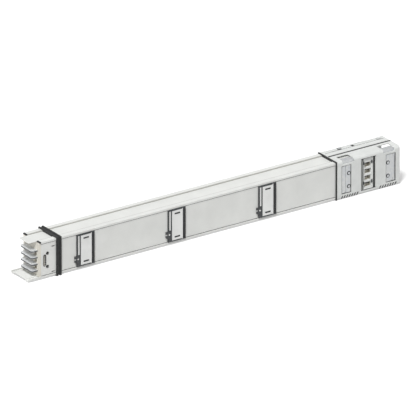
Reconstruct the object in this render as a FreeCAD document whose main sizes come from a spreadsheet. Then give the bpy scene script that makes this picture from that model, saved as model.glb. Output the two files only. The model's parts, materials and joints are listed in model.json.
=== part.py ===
# A straight busway section: four flat bars in a sheet casing, with a plug-in end, tap-off outlets and a
# joint block. X runs along the section from the plug-in end to the joint block, Y from front to back and
# Z up. The origin is under the middle of the section, on the surface it lies on. Lengths in millimetres.

import FreeCAD, Part
import Sketcher
import math
import os
import re

# Driving sizes: name, value, what it measures.
SIZES = [
    ("casing_deep", 113, "casing, front to back over the cover lips"),
    ("casing_high", 146, "casing, under to top"),
    ("sheet", 1.5, "thickness of every casing sheet"),
    ("bend", 1.2, "outer radius of a casing cover's long bends"),
    ("lip_high", 8.5, "cover lip, down or up over a side plate"),
    ("rim_wide", 22, "raised rim along each edge of a cover"),
    ("channel_sunk", 4, "depth of a cover's channel between its rims"),
    ("proud", 5, "how far the joint block and the sealing band stand out from the casing"),
    ("run_long", 1259, "sealing band's outer edge to the joint block"),
    ("block_long", 283, "joint block"),
    ("base_reach", 124, "bottom cover, past the sealing band"),
    ("tongue_reach", 105, "top cover's tongue, past the sealing band"),
    ("bar_reach", 96, "bars, past the sealing band"),
    ("plate_reach", 65, "side plates and top rims, past the sealing band"),
    ("tongue_gap", 1, "tongue's side edge to the channel wall"),
    ("band_wide", 22, "sealing band, along the section"),
    ("band_lip", 7, "sealing band's two outer lips"),
    ("band_groove", 2.5, "depth of the groove between the lips"),
    ("band_line", 1.2, "fine grooves in the sealing band"),
    ("bar_wide", 80, "conductor bar"),
    ("bar_thick", 6, "conductor bar"),
    ("bar_pitch", 26.5, "bar to bar, upwards"),
    ("bar_low", 27, "lowest bar's centre over the casing's underside"),
    ("bar_corner", 6, "chamfer of a bar's front corners"),
    ("grip", 0.3, "play round a bar in its supports"),
    ("comb_reach", 71, "end comb, past the sealing band"),
    ("comb_long", 22, "end comb, along the section"),
    ("arch_wide", 15, "arch in the end comb between two bars"),
    ("arch_rise", 7.5, "arch's straight sides"),
    ("arch_web", 2.5, "comb's web between a bar and the arch over it"),
    ("arch_deep", 15, "arch's depth, along the section"),
    ("arch_pitch", 27, "arch's middle from the comb's middle"),
    ("support_long", 18, "bar support, along the section"),
    ("fix_reach", 37, "round fixing holes, past the sealing band"),
    ("fix_pitch", 53.3, "round fixing holes, one over the other"),
    ("fix_mid", 68.2, "middle of the fixing holes over the casing's underside"),
    ("fix_hole", 8, "round fixing hole's diameter"),
    ("slot_reach", 49.5, "keying slot, past the sealing band"),
    ("slot_wide", 9, "keying slot"),
    ("slot_high", 43, "keying slot"),
    ("dash_reach", 11, "short level slots, past the sealing band"),
    ("dash_long", 15, "short level slot"),
    ("dash_high", 4, "short level slot"),
    ("dash_low", 16, "lower short slot over the casing's underside"),
    ("dash_top", 117.6, "upper short slot over the casing's underside"),
    ("outlet_first", 130, "first outlet's middle from the sealing band's outer edge"),
    ("outlet_pitch", 407, "outlet to outlet"),
    ("outlet_wide", 78, "outlet frame"),
    ("outlet_high", 127.5, "outlet frame"),
    ("outlet_low", 9, "outlet frame over the casing's underside"),
    ("outlet_proud", 4.5, "outlet frame's border out from the casing"),
    ("pillar_wide", 16.6, "outlet frame's catch-side pillar"),
    ("border", 4.5, "outlet frame's border above and below the door"),
    ("door_wide", 49.5, "outlet door with its hinge barrel"),
    ("door_gap", 0.5, "gap round the outlet door"),
    ("rest_gap", 0.3, "outlet door over its rest"),
    ("barrel", 2.4, "radius of the door's hinge barrel"),
    ("barrel_room", 2.2, "gap from the hinge barrel to the border beside it"),
    ("barrel_end", 2.5, "hinge barrel's ends, into the frame's border"),
    ("barrel_play", 0.25, "play round the hinge barrel's ends"),
    ("grasp_long", 24, "finger slot in an outlet door"),
    ("grasp_high", 3.5, "finger slot in an outlet door"),
    ("grasp_edge", 12, "finger slot's middle from the door's edge"),
    ("well_wide", 29, "outlet well, inside"),
    ("well_wall", 2.5, "outlet well's wall"),
    ("window_high", 19, "window over a bar's edge"),
    ("window_deep", 6, "depth of the ribs between the windows"),
    ("catch_wide", 22, "door catch"),
    ("catch_high", 24, "door catch"),
    ("catch_out", 9, "door catch, out past the frame's edge"),
    ("catch_low", 39.5, "door catch's middle over the casing's underside"),
    ("catch_hole", 7, "hole in the door catch"),
    ("wall", 3, "joint block's cover wall"),
    ("round_edge", 10, "joint block's rounded long edges"),
    ("seam_gap", 1.2, "gap between the block covers, along the middle"),
    ("pocket_in", 19, "pocket's outer edge from the block's end"),
    ("pocket_wide", 44, "pocket in a block cover"),
    ("pocket_step", 20, "pocket's outer edge to the clamp plate's step"),
    ("pocket_low", 16, "pocket over the casing's underside"),
    ("pocket_high", 113, "pocket"),
    ("plate_edge", 4, "clamp plate's overlap behind the block cover"),
    ("plate_thick", 1.5, "clamp plate"),
    ("plate_step", 1.2, "clamp plate's raised part"),
    ("screw_hole", 6.6, "clamp screw's hole"),
    ("boss", 9, "square boss at a clamp plate's outer corners"),
    ("boss_in", 3, "square boss, in from the pocket's edges"),
    ("block_window_wide", 67, "block's middle opening"),
    ("block_window_high", 130, "block's middle opening"),
    ("block_window_low", 8, "block's middle opening over the casing's underside"),
    ("window_lap", 3, "outlet body's flange behind the block cover"),
    ("block_pillar", 11, "outlet body's pillar with a groove down its middle"),
    ("block_rim", 3, "outlet body's rim"),
    ("block_sunk", 3, "outlet body's well under its rim"),
    ("block_seal", 8, "seal strip beside the outlet body's well"),
    ("latch", 4.5, "latch in the outlet body's well"),
    ("latch_high", 12, "latch in the outlet body's well"),
    ("latch_proud", 1.5, "latch over the outlet body's rim"),
    ("latch_low", 36.5, "lower latches over the casing's underside"),
    ("latch_top", 116, "upper latches over the casing's underside"),
    ("core_long", 84, "joint core"),
    ("core_flank", 7.9, "joint core's wall beside the bars"),
    ("core_room", 0.3, "joint core's play in the casing"),
    ("jaw_long", 98, "contact jaw"),
    ("jaw_inset", 1.5, "contact jaw's side edge in from the bar's edge"),
    ("jaw_thick", 2.4, "contact jaw"),
    ("jaw_slit", 2, "slit between two fingers"),
    ("jaw_slit_long", 30, "slit, in from a contact jaw's end"),
    ("jaw_flare", 2.2, "how far a jaw's lead-in lip bends away from the bar"),
    ("jaw_lip", 5, "a jaw's lead-in lip, along the section"),
    ("bar_end", 26, "bars' ends from the joint's middle"),
    ("casing_end", 57, "side plates' ends from the joint's middle"),
    ("cover_end", 4, "casing covers' ends from the joint's middle"),
    ("notch_in", 24, "clip notch from the block's end"),
    ("notch_wide", 52, "clip notch"),
    ("notch_back", 45, "front clip notch's far edge from the block's face"),
    ("rear_notch_back", 11.5, "back clip notch's far edge from the block's face"),
    ("notch_drop", 14.5, "clip notch's lower edge under the block's top"),
    ("clip_back", 22, "clip's upper edge from the casing's face"),
    ("clip_lap", 3, "clip's lower end under the notch"),
    ("clip_thick", 1.5, "cover clip"),
    ("clip_play", 0.3, "cover clip's play at its ends"),
    ("gasket_wide", 6, "block gasket inside the covers, along the section"),
    ("gasket_lip", 5, "block gasket's lip in front of the covers"),
    ("gasket_back", 1, "gasket lip's outer edge in from the covers' face"),
    ("track_edge", 31, "back cover's sunk track, from the middle"),
    ("track_wide", 17, "back cover's sunk track"),
    ("track_sunk", 1.2, "back cover's sunk track"),
    ("track_in", 10, "back cover's sunk track from the block's ends"),
    ("track_slot", 24, "slot in the sunk track"),
    ("track_slot_in", 14, "slot in the sunk track from the block's end"),
    ("track_slot_wide", 6, "slot in the sunk track"),
    ("track_key_in", 135, "key slot across the sunk track from the block's start"),
    ("track_key", 7, "key slot across the sunk track"),
    ("track_key_long", 12, "key slot across the sunk track"),
    ("tab_in", 41, "raised tab in the sunk track from the block's start"),
    ("tab_long", 28, "raised tab in the sunk track"),
    ("tab_wide", 7, "raised tab in the sunk track"),
    ("bolt_in", 79, "block bolt's axis from the block's start"),
    ("bolt_off", 41, "block bolt's axis from the middle"),
    ("bolt_washer", 6.5, "radius of the block bolt's washer"),
    ("bolt_washer_high", 1.4, "block bolt's washer"),
    ("bolt_head", 5.2, "block bolt's head, from its axis to a corner"),
    ("bolt_head_high", 4.6, "block bolt's head"),
    ("grip_pitch", 11.5, "grip groove to grip groove"),
    ("grip_wide", 5, "grip groove"),
    ("grip_cut", 8, "grip groove's ends from the block cover's corner"),
    ("grip_in", 18, "first grip groove from the block's end"),
    ("seal_wide", 7.5, "outlet's black seal strip"),
    ("seal_edge", 0.6, "frame's lip beside the seal strip"),
    ("seal_sunk", 0.2, "seal strip under the frame's face"),
    ("seal_deep", 3.5, "groove for the seal strip"),
]

# Places and sizes that follow from the driving ones.
PLACES = {
    "half_deep": "casing_deep / 2",
    "floor": "proud",
    "roof": "proud + casing_high",
    "band_start": "(base_reach - run_long - block_long) / 2",
    "block_start": "band_start + run_long",
    "block_end": "block_start + block_long",
    "joint_mid": "block_end - block_long / 2",
    "plate_face": "half_deep - sheet",
    "bar_mid": "floor + bar_low",
    "bars_end": "joint_mid - bar_end",
    "plates_end": "joint_mid - casing_end",
    "covers_end": "joint_mid - cover_end",
    "fix_high": "floor + fix_mid",
    "inner_floor": "floor + channel_sunk + sheet",
    "inner_roof": "roof - channel_sunk - sheet",
    "frame_face": "half_deep + outlet_proud",
    "barrel_axis": "frame_face - barrel - door_gap / 2",
    "seal_left": "barrel_at + barrel + barrel_room + seal_edge",
    "barrel_at": "door_left + door_wide - barrel",
    "door_left": "pillar_wide - outlet_wide / 2 + door_gap",
    "door_low": "floor + outlet_low + border + door_gap",
    "door_top": "floor + outlet_low + outlet_high - border - door_gap",
    "outlet_floor": "floor + outlet_low",
    "outlet_roof": "floor + outlet_low + outlet_high",
    "well_back": "bar_wide / 2 + grip",
    "well_half": "well_wide / 2",
    "bars_mid": "bar_mid + 1.5 * bar_pitch",
    "well_floor": "bars_mid - 1.5 * bar_pitch - window_high / 2",
    "well_roof": "bars_mid + 1.5 * bar_pitch + window_high / 2",
    "block_face": "half_deep + proud",
    "block_inner": "block_face - wall",
    "block_top": "roof + proud",
    "seam": "seam_gap / 2",
    "core_half": "bar_wide / 2 + 2 * core_room + core_flank",
    "jaw_half": "bar_wide / 2 - jaw_inset",
    "pocket_floor": "floor + pocket_low",
    "pocket_roof": "pocket_floor + pocket_high",
    "pocket_screw": "pocket_in + pocket_step + (pocket_wide - pocket_step) * 0.58",
    "step_face": "block_inner + plate_step",
    "catch_mid": "floor + catch_low",
    "catch_left": "-outlet_wide / 2 - catch_out",
    "block_window_floor": "floor + block_window_low",
    "block_window_roof": "block_window_floor + block_window_high",
    "clip_low": "block_top - notch_drop - clip_lap",
}

BARS = 4
OUTLETS = 3
GRIPS = 7
FINGERS = 4
SIDES = ("front", "back")
WORD = re.compile(r"[a-z][a-z_]*")
NAMES = [name for name, amount, what in SIZES]

doc = FreeCAD.newDocument("BuswaySection")
sheet = doc.addObject("Spreadsheet::Sheet", "Sizes")
for row, (name, amount, what) in enumerate(SIZES, start=1):
    sheet.set(f"A{row}", what)
    sheet.set(f"B{row}", str(amount))
    sheet.setAlias(f"B{row}", name)
doc.recompute()


def tied(text):
    """Turns a line of plain size and place names into an expression on the sheet."""

    def swap(match):
        word = match.group(0)
        if word in PLACES:
            return "(" + tied(PLACES[word]) + ")"
        return "Sizes." + word if word in NAMES else word

    return WORD.sub(swap, text)


def value(text):
    return float(sheet.evalExpression(tied(text)))


def bind(thing, field, text):
    thing.setExpression(field, tied(text))


# Sketches. A shape in a sketch is a function that draws it and ties it to the sheet.

PLANES = {"X": "YZ_Plane", "Y": "XZ_Plane", "Z": "XY_Plane"}


def fix(sketch, kind, corner, text):
    """Ties one coordinate of a sketch point to the sheet."""
    geometry, vertex = corner
    rule = Sketcher.Constraint(kind, -1, 1, geometry, vertex, value(text))
    place = sketch.addConstraint(rule)
    sketch.setExpression(f"Constraints[{place}]", tied(text))


def fix_radius(sketch, geometry, text):
    place = sketch.addConstraint(Sketcher.Constraint("Radius", geometry, value(text)))
    sketch.setExpression(f"Constraints[{place}]", tied(text))


def polygon(*corners):
    """A closed outline through the corners, each a pair of texts."""

    def draw(sketch):
        first = sketch.GeometryCount
        spots = [FreeCAD.Vector(value(a), value(b), 0) for a, b in corners]
        for here, after in zip(spots, spots[1:] + spots[:1]):
            sketch.addGeometry(Part.LineSegment(here, after), False)
        for place, (a, b) in enumerate(corners):
            after = (place + 1) % len(corners)
            sketch.addConstraint(Sketcher.Constraint("Coincident", first + place, 2, first + after, 1))
        for place, (a, b) in enumerate(corners):
            fix(sketch, "DistanceX", (first + place, 1), a)
            fix(sketch, "DistanceY", (first + place, 1), b)

    return draw


def rectangle(left, right, low, high):
    return polygon((left, low), (right, low), (right, high), (left, high))


def circle(across, up, radius):
    def draw(sketch):
        centre = FreeCAD.Vector(value(across), value(up), 0)
        place = sketch.addGeometry(Part.Circle(centre, FreeCAD.Vector(0, 0, 1), value(radius)), False)
        fix(sketch, "DistanceX", (place, 3), across)
        fix(sketch, "DistanceY", (place, 3), up)
        fix_radius(sketch, place, radius)

    return draw


def upright_slot(across, low, high, radius):
    """A slot with round ends. Low and high are the heights of the ends' centres."""

    def draw(sketch):
        x, z1, z2, r = value(across), value(low), value(high), value(radius)
        up = FreeCAD.Vector(0, 0, 1)
        first = sketch.GeometryCount
        head = Part.Circle(FreeCAD.Vector(x, z2, 0), up, r)
        foot = Part.Circle(FreeCAD.Vector(x, z1, 0), up, r)
        left_top, left_low = FreeCAD.Vector(x - r, z2, 0), FreeCAD.Vector(x - r, z1, 0)
        right_top, right_low = FreeCAD.Vector(x + r, z2, 0), FreeCAD.Vector(x + r, z1, 0)
        sketch.addGeometry(Part.ArcOfCircle(head, 0, math.pi), False)
        sketch.addGeometry(Part.LineSegment(left_top, left_low), False)
        sketch.addGeometry(Part.ArcOfCircle(foot, math.pi, 2 * math.pi), False)
        sketch.addGeometry(Part.LineSegment(right_low, right_top), False)
        for here, after in ((0, 1), (1, 2), (2, 3), (3, 0)):
            sketch.addConstraint(Sketcher.Constraint("Tangent", first + here, 2, first + after, 1))
        sketch.addConstraint(Sketcher.Constraint("Equal", first, first + 2))
        fix(sketch, "DistanceX", (first, 3), across)
        fix(sketch, "DistanceY", (first, 3), high)
        fix(sketch, "DistanceY", (first + 2, 3), low)
        fix_radius(sketch, first, radius)

    return draw


def arch(across, low, spring, radius):
    """An arch with a flat foot at low and a half-round head whose centre is at spring."""

    def draw(sketch):
        x, z1, z2, r = value(across), value(low), value(spring), value(radius)
        first = sketch.GeometryCount
        head = Part.Circle(FreeCAD.Vector(x, z2, 0), FreeCAD.Vector(0, 0, 1), r)
        corners = [(x - r, z2), (x - r, z1), (x + r, z1), (x + r, z2)]
        spots = [FreeCAD.Vector(a, b, 0) for a, b in corners]
        sketch.addGeometry(Part.ArcOfCircle(head, 0, math.pi), False)
        for here, after in zip(spots, spots[1:]):
            sketch.addGeometry(Part.LineSegment(here, after), False)
        for here, after in ((1, 2), (2, 3)):
            sketch.addConstraint(Sketcher.Constraint("Coincident", first + here, 2, first + after, 1))
        for here, after in ((0, 1), (3, 0)):
            sketch.addConstraint(Sketcher.Constraint("Tangent", first + here, 2, first + after, 1))
        fix(sketch, "DistanceX", (first, 3), across)
        fix(sketch, "DistanceY", (first, 3), spring)
        fix(sketch, "DistanceY", (first + 1, 2), low)
        fix(sketch, "DistanceY", (first + 2, 2), low)
        fix_radius(sketch, first, radius)

    return draw


# Features. Every extrusion runs from start to end along one axis of the section.


def new_body(label):
    body = doc.addObject("PartDesign::Body", label)
    body.Label = label
    return body


def new_sketch(body, axis, offset, shapes):
    plane = [o for o in body.Origin.OriginFeatures if o.Role == PLANES[axis]][0]
    sketch = body.newObject("Sketcher::SketchObject", f"{body.Name}_outline")
    sketch.AttachmentSupport = [(plane, "")]
    sketch.MapMode = "FlatFace"
    bind(sketch, "AttachmentOffset.Base.z", offset)
    for draw in shapes:
        draw(sketch)
    return sketch


def pad(body, axis, start, end, *shapes):
    """Adds the shapes from start to end. A sketch across Y faces the front, so it starts at the far end."""
    offset = f"-({end})" if axis == "Y" else start
    feature = body.newObject("PartDesign::Pad", f"{body.Name}_pad")
    feature.Profile = new_sketch(body, axis, offset, shapes)
    bind(feature, "Length", f"({end}) - ({start})")
    return feature


def pocket(body, axis, start, end, *shapes):
    """Cuts the shapes from start to end, and sees that the cut takes something away."""
    doc.recompute()
    before = body.Shape.Volume
    offset = f"-({start})" if axis == "Y" else end
    feature = body.newObject("PartDesign::Pocket", f"{body.Name}_cut")
    feature.Profile = new_sketch(body, axis, offset, shapes)
    bind(feature, "Length", f"({end}) - ({start})")
    doc.recompute()
    if body.Shape.Volume > before - 1e-6:
        raise RuntimeError(f"a cut in {body.Label} takes nothing away")
    return feature


def line_pattern(body, feature, axis, reach, count):
    """Repeats a feature along X, Y or Z over the given reach."""
    role = {"X": "X_Axis", "Y": "Y_Axis", "Z": "Z_Axis"}[axis]
    way = [o for o in body.Origin.OriginFeatures if o.Role == role][0]
    repeat = body.newObject("PartDesign::LinearPattern", f"{body.Name}_row")
    repeat.Originals = [feature]
    repeat.Direction = (way, [""])
    bind(repeat, "Length", reach)
    repeat.Occurrences = count
    body.Tip = repeat
    return repeat


def edges_at(body, axis, spots):
    """Names of the straight edges along an axis that pass through the given spots."""
    doc.recompute()
    order = {"X": (1, 2), "Y": (0, 2), "Z": (0, 1)}[axis]
    found = []
    for place, edge in enumerate(body.Shape.Edges, start=1):
        ends = [vertex.Point for vertex in edge.Vertexes]
        for spot in spots:
            on_line = all(
                abs(point[order[0]] - spot[0]) < 1e-4 and abs(point[order[1]] - spot[1]) < 1e-4
                for point in ends
            )
            if len(ends) == 2 and on_line:
                found.append(f"Edge{place}")
    return found


def dress(body, kind, edges, field, size):
    """Fillets or chamfers the named edges of what the body holds so far."""
    base = body.Tip
    feature = body.newObject(kind, f"{body.Name}_dressing")
    feature.Base = (base, edges)
    bind(feature, field, size)
    body.Tip = feature
    return feature


def round_edges(body, axis, spots, radius):
    return dress(body, "PartDesign::Fillet", edges_at(body, axis, spots), "Radius", radius)


def cut_corners(body, axis, spots, size):
    return dress(body, "PartDesign::Chamfer", edges_at(body, axis, spots), "Size", size)


def outward(side, inner, outer):
    """The stretch of Y between two distances from the middle plane, at the front or at the back."""
    if side == "front":
        return f"-({outer})", f"-({inner})"
    return inner, outer


def span_y(side, inner, outer, *shapes):
    start, end = outward(side, inner, outer)
    return ("Y", start, end, *shapes)


# Casing


def cut_rims(body, skin, sign, start, end):
    """Leaves only the channel floor of a cover between start and end."""
    inner, outer = "half_deep - rim_wide - tongue_gap", "half_deep + 1"
    low, high = f"{skin} - {sign}(lip_high + 1)", f"{skin} + {sign}(1)"
    right = rectangle(inner, outer, low, high)
    left = rectangle(f"-({outer})", f"-({inner})", low, high)
    pocket(body, "X", start, end, left, right)


def cover(label, upward):
    """A casing cover: raised rims, a channel between them, lips over the side plates."""
    sign = "" if upward else "-"
    skin = "roof" if upward else "floor"

    def at(across, depth):
        return across, f"{skin} - {sign}({depth})"

    body = new_body(label)
    inner = "half_deep - sheet"
    wall_out = "half_deep - rim_wide"
    wall_in = "half_deep - rim_wide + sheet"
    right = [
        at("half_deep", "lip_high"),
        at("half_deep", "0"),
        at(wall_out, "0"),
        at(wall_out, "channel_sunk"),
    ]
    under = [
        at(inner, "lip_high"),
        at(inner, "sheet"),
        at(wall_in, "sheet"),
        at(wall_in, "channel_sunk + sheet"),
    ]
    left = [(f"-({across})", up) for across, up in reversed(right)]
    left_under = [(f"-({across})", up) for across, up in under]
    corners = right + left + left_under + list(reversed(under))
    reach = "tongue_reach" if upward else "base_reach"
    pad(body, "X", f"band_start - {reach}", "covers_end", polygon(*corners))
    side = value("half_deep")
    round_edges(body, "X", [(-side, value(skin)), (side, value(skin))], "bend")
    cut_rims(body, skin, sign, "plates_end", "covers_end + 1")
    return body


casing_top = cover("casing_top", True)
cut_rims(casing_top, "roof", "", "band_start - tongue_reach - 1", "band_start - plate_reach")

casing_bottom = cover("casing_bottom", False)


def side_plate(side):
    body = new_body(f"side_plate_{side}")
    near, far = "plate_face - sheet", "plate_face"
    left, right = "band_start - plate_reach", "plates_end"
    pad(body, *span_y(side, near, far, rectangle(left, right, "floor + sheet", "roof - sheet")))
    shapes = []
    for step in ("-", "+"):
        shapes.append(circle("band_start - fix_reach", f"fix_high {step} fix_pitch / 2", "fix_hole / 2"))
    shapes.append(
        upright_slot(
            "band_start - slot_reach",
            "fix_high - slot_high / 2 + slot_wide / 2",
            "fix_high + slot_high / 2 - slot_wide / 2",
            "slot_wide / 2",
        )
    )
    for up in ("dash_low", "dash_top"):
        shapes.append(
            rectangle(
                "band_start - dash_reach - dash_long / 2",
                "band_start - dash_reach + dash_long / 2",
                f"floor + {up} - dash_high / 2",
                f"floor + {up} + dash_high / 2",
            )
        )
    pocket(body, *span_y(side, f"{near} - 1", f"{far} + 1", *shapes))
    middle = "band_start + outlet_first"
    well = rectangle(
        f"{middle} - well_half - well_wall",
        f"{middle} + well_half + well_wall",
        "well_floor - well_wall",
        "well_roof + well_wall",
    )
    opening = pocket(body, *span_y(side, f"{near} - 1", f"{far} + 1", well))
    line_pattern(body, opening, "X", f"outlet_pitch * {OUTLETS - 1}", OUTLETS)
    return body


for side in SIDES:
    side_plate(side)


# Conductors

for number in range(BARS):
    bar = new_body(f"bar_{number + 1}")
    low = f"bar_mid + {number} * bar_pitch - bar_thick / 2"
    outline = rectangle("band_start - bar_reach", "bars_end", "-bar_wide / 2", "bar_wide / 2")
    pad(bar, "Z", low, f"{low} + bar_thick", outline)
    tips = [(value("band_start - bar_reach"), sign * value("bar_wide / 2")) for sign in (-1, 1)]
    cut_corners(bar, "Z", tips, "bar_corner")


def bar_slots(play):
    """One slot across the sketch for each bar."""
    slots = []
    for number in range(BARS):
        middle = f"bar_mid + {number} * bar_pitch"
        half = f"(bar_thick / 2 + {play})"
        wide = f"(bar_wide / 2 + {play})"
        slots.append(rectangle(f"-{wide}", wide, f"{middle} - {half}", f"{middle} + {half}"))
    return slots


def casing_section(play):
    """The space inside the casing, less the play."""
    side = f"half_deep - 2 * sheet - {play}"
    rim = f"half_deep - rim_wide + sheet + {play}"
    right = [
        (rim, f"inner_floor + {play}"),
        (rim, f"floor + sheet + {play}"),
        (side, f"floor + sheet + {play}"),
        (side, f"roof - sheet - {play}"),
        (rim, f"roof - sheet - {play}"),
        (rim, f"inner_roof - {play}"),
    ]
    left = [(f"-({across})", up) for across, up in reversed(right)]
    return polygon(*(right + left))


comb = new_body("end_comb")
comb_start = "band_start - comb_reach"
half_comb = "half_deep - 2 * sheet"
comb_outline = rectangle(f"-({half_comb})", half_comb, "inner_floor", "inner_roof")
pad(comb, "X", comb_start, f"{comb_start} + comb_long", comb_outline)
pocket(comb, "X", f"{comb_start} - 1", f"{comb_start} + comb_long + 1", *bar_slots("grip"))
arches = []
for number in range(BARS - 1):
    foot = f"bar_mid + {number} * bar_pitch + bar_thick / 2 + grip + arch_web"
    for step in (-1, 1):
        arches.append(arch(f"{step} * arch_pitch", foot, f"{foot} + arch_rise", "arch_wide / 2"))
pocket(comb, "X", f"{comb_start} - 1", f"{comb_start} + arch_deep", *arches)


def bar_support(number):
    """A moulded insulator that fills the casing and holds the bars."""
    body = new_body(f"bar_support_{number + 1}")
    start = "band_start + outlet_first + outlet_pitch / 2 - support_long / 2"
    end = f"{start} + support_long"
    pad(body, "X", start, end, casing_section("0"))
    pocket(body, "X", f"{start} - 1", f"{end} + 1", *bar_slots("grip"))
    body.Placement = FreeCAD.Placement()
    bind(body, "Placement.Base.x", f"{number} * outlet_pitch")
    return body


for number in range(OUTLETS):
    bar_support(number)


# Sealing band

band = new_body("seal_band")


def casing_outline(play):
    """The casing's outer outline with its channels."""
    side = f"half_deep + {play}"
    rim = f"half_deep - rim_wide - {play}"
    top = [
        (side, f"roof + {play}"),
        (rim, f"roof + {play}"),
        (rim, f"roof - channel_sunk + {play}"),
    ]
    under = [
        (rim, f"floor + channel_sunk - {play}"),
        (rim, f"floor - {play}"),
        (side, f"floor - {play}"),
    ]
    left_top = [(f"-({across})", up) for across, up in reversed(top)]
    left_under = [(f"-({across})", up) for across, up in reversed(under)]
    return polygon(*(top + left_top + left_under + under))


band_box = rectangle("-block_face", "block_face", "0", "block_top")
pad(band, "X", "band_start", "band_start + band_wide", band_box, casing_outline("0"))
casing_corners = [(y * value("half_deep"), value(z)) for y in (-1, 1) for z in ("floor", "roof")]
round_edges(band, "X", casing_corners, "bend")


def band_cut(start, end, depth):
    """Cuts a groove all round the sealing band."""
    outer = rectangle("-(block_face + 1)", "block_face + 1", "-1", "block_top + 1")
    inner = rectangle(f"-(block_face - {depth})", f"block_face - {depth}", depth, f"block_top - {depth}")
    pocket(band, "X", start, end, outer, inner)


band_cut("band_start + band_lip", "band_start + band_wide - band_lip", "band_groove")
for lip_mid in ("band_start + band_lip / 2", "band_start + band_wide - band_lip / 2"):
    band_cut(f"{lip_mid} - band_line / 2", f"{lip_mid} + band_line / 2", "band_line")


# Tap-off outlets


def windows(left, right):
    shapes = []
    for number in range(BARS):
        middle = f"bar_mid + {number} * bar_pitch"
        shapes.append(rectangle(left, right, f"{middle} - window_high / 2", f"{middle} + window_high / 2"))
    return shapes


OUTLET_SEAL = (
    "seal_left",
    "seal_left + seal_wide",
    "outlet_floor + border / 2",
    "outlet_roof - border / 2",
)


def outlet_frame(side, number):
    body = new_body(f"outlet_frame_{side}_{number + 1}")
    left, right = "-outlet_wide / 2", "outlet_wide / 2"
    outline = rectangle(left, right, "outlet_floor", "outlet_roof")
    pad(body, *span_y(side, "plate_face", "frame_face", outline))
    well = rectangle(
        "-well_half - well_wall",
        "well_half + well_wall",
        "well_floor - well_wall",
        "well_roof + well_wall",
    )
    pad(body, *span_y(side, "well_back", "plate_face", well))
    door_room = rectangle(
        "door_left - door_gap",
        "barrel_at",
        "door_low - door_gap",
        "door_top + door_gap",
    )
    pocket(body, *span_y(side, "barrel_axis - rest_gap", "frame_face + 1", door_room))
    barrel_room = rectangle(
        "barrel_at - barrel - door_gap",
        "barrel_at + barrel + barrel_room",
        "door_low - door_gap",
        "door_top + door_gap",
    )
    pocket(body, *span_y(side, "plate_face + 0.5", "frame_face + 1", barrel_room))
    inside = rectangle("-well_half", "well_half", "well_floor", "well_roof")
    pocket(body, *span_y(side, "well_back + window_deep", "frame_face + 1", inside))
    pocket(body, *span_y(side, "well_back - 1", "frame_face + 1", *windows("-well_half", "well_half")))
    groove = rectangle(
        "-outlet_wide / 2 + pillar_wide * 0.3",
        "-outlet_wide / 2 + pillar_wide * 0.7",
        "catch_mid + catch_high / 2 + border",
        "outlet_roof - border",
    )
    pocket(body, *span_y(side, "frame_face - 2.5", "frame_face + 1", groove))
    catch_room = rectangle(
        "-outlet_wide / 2 - 1",
        "catch_left + catch_wide",
        "catch_mid - catch_high / 2",
        "catch_mid + catch_high / 2",
    )
    pocket(body, *span_y(side, "plate_face - 1", "frame_face + 1", catch_room))
    seal_room = rectangle(*OUTLET_SEAL)
    pocket(body, *span_y(side, "frame_face - seal_deep", "frame_face + 1", seal_room))
    notch = rectangle(
        "barrel_at - barrel - barrel_play",
        "barrel_at + barrel + barrel_play",
        "door_low - barrel_end - barrel_play",
        "door_top + barrel_end + barrel_play",
    )
    pocket(body, *span_y(side, "barrel_axis - barrel - barrel_play", "frame_face + 1", notch))
    body.Placement = FreeCAD.Placement()
    bind(body, "Placement.Base.x", f"band_start + outlet_first + {number} * outlet_pitch")
    return body


def outlet_door(side, number):
    body = new_body(f"outlet_door_{side}_{number + 1}")
    leaf = rectangle("door_left", "barrel_at", "door_low", "door_top")
    sign = "-" if side == "front" else ""
    round_barrel = circle("barrel_at", f"{sign}(barrel_axis)", "barrel")
    pad(body, *span_y(side, "barrel_axis", "barrel_axis + barrel", leaf))
    pad(body, "Z", "door_low - barrel_end", "door_top + barrel_end", round_barrel)
    middle = "(door_left + barrel_at) / 2"
    grasps = [
        rectangle(
            f"{middle} - grasp_long / 2",
            f"{middle} + grasp_long / 2",
            f"{up} - grasp_high / 2",
            f"{up} + grasp_high / 2",
        )
        for up in ("door_low + grasp_edge", "door_top - grasp_edge")
    ]
    pocket(body, *span_y(side, "barrel_axis - 1", "barrel_axis + barrel + 1", *grasps))
    body.Placement = FreeCAD.Placement()
    bind(body, "Placement.Base.x", f"band_start + outlet_first + {number} * outlet_pitch")
    return body


def door_catch(side, number):
    body = new_body(f"door_catch_{side}_{number + 1}")
    plate = rectangle(
        "catch_left",
        "catch_left + catch_wide",
        "catch_mid - catch_high / 2",
        "catch_mid + catch_high / 2",
    )
    pad(body, *span_y(side, "plate_face", "frame_face", plate))
    hole = circle("catch_left + catch_wide * 0.64", "catch_mid", "catch_hole / 2")
    notch = rectangle(
        "catch_left - 1",
        "catch_left + catch_out * 0.8",
        "catch_mid - catch_high / 8",
        "catch_mid + catch_high / 8",
    )
    pocket(body, *span_y(side, "plate_face + 1", "frame_face + 1", hole, notch))
    body.Placement = FreeCAD.Placement()
    bind(body, "Placement.Base.x", f"band_start + outlet_first + {number} * outlet_pitch")
    return body


for side in SIDES:
    for number in range(OUTLETS):
        outlet_frame(side, number)
        outlet_door(side, number)
        door_catch(side, number)


# Joint block


NOTCHES = {
    "left": ("block_start + notch_in", "block_start + notch_in + notch_wide"),
    "right": ("block_end - notch_in - notch_wide", "block_end - notch_in"),
}


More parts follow.
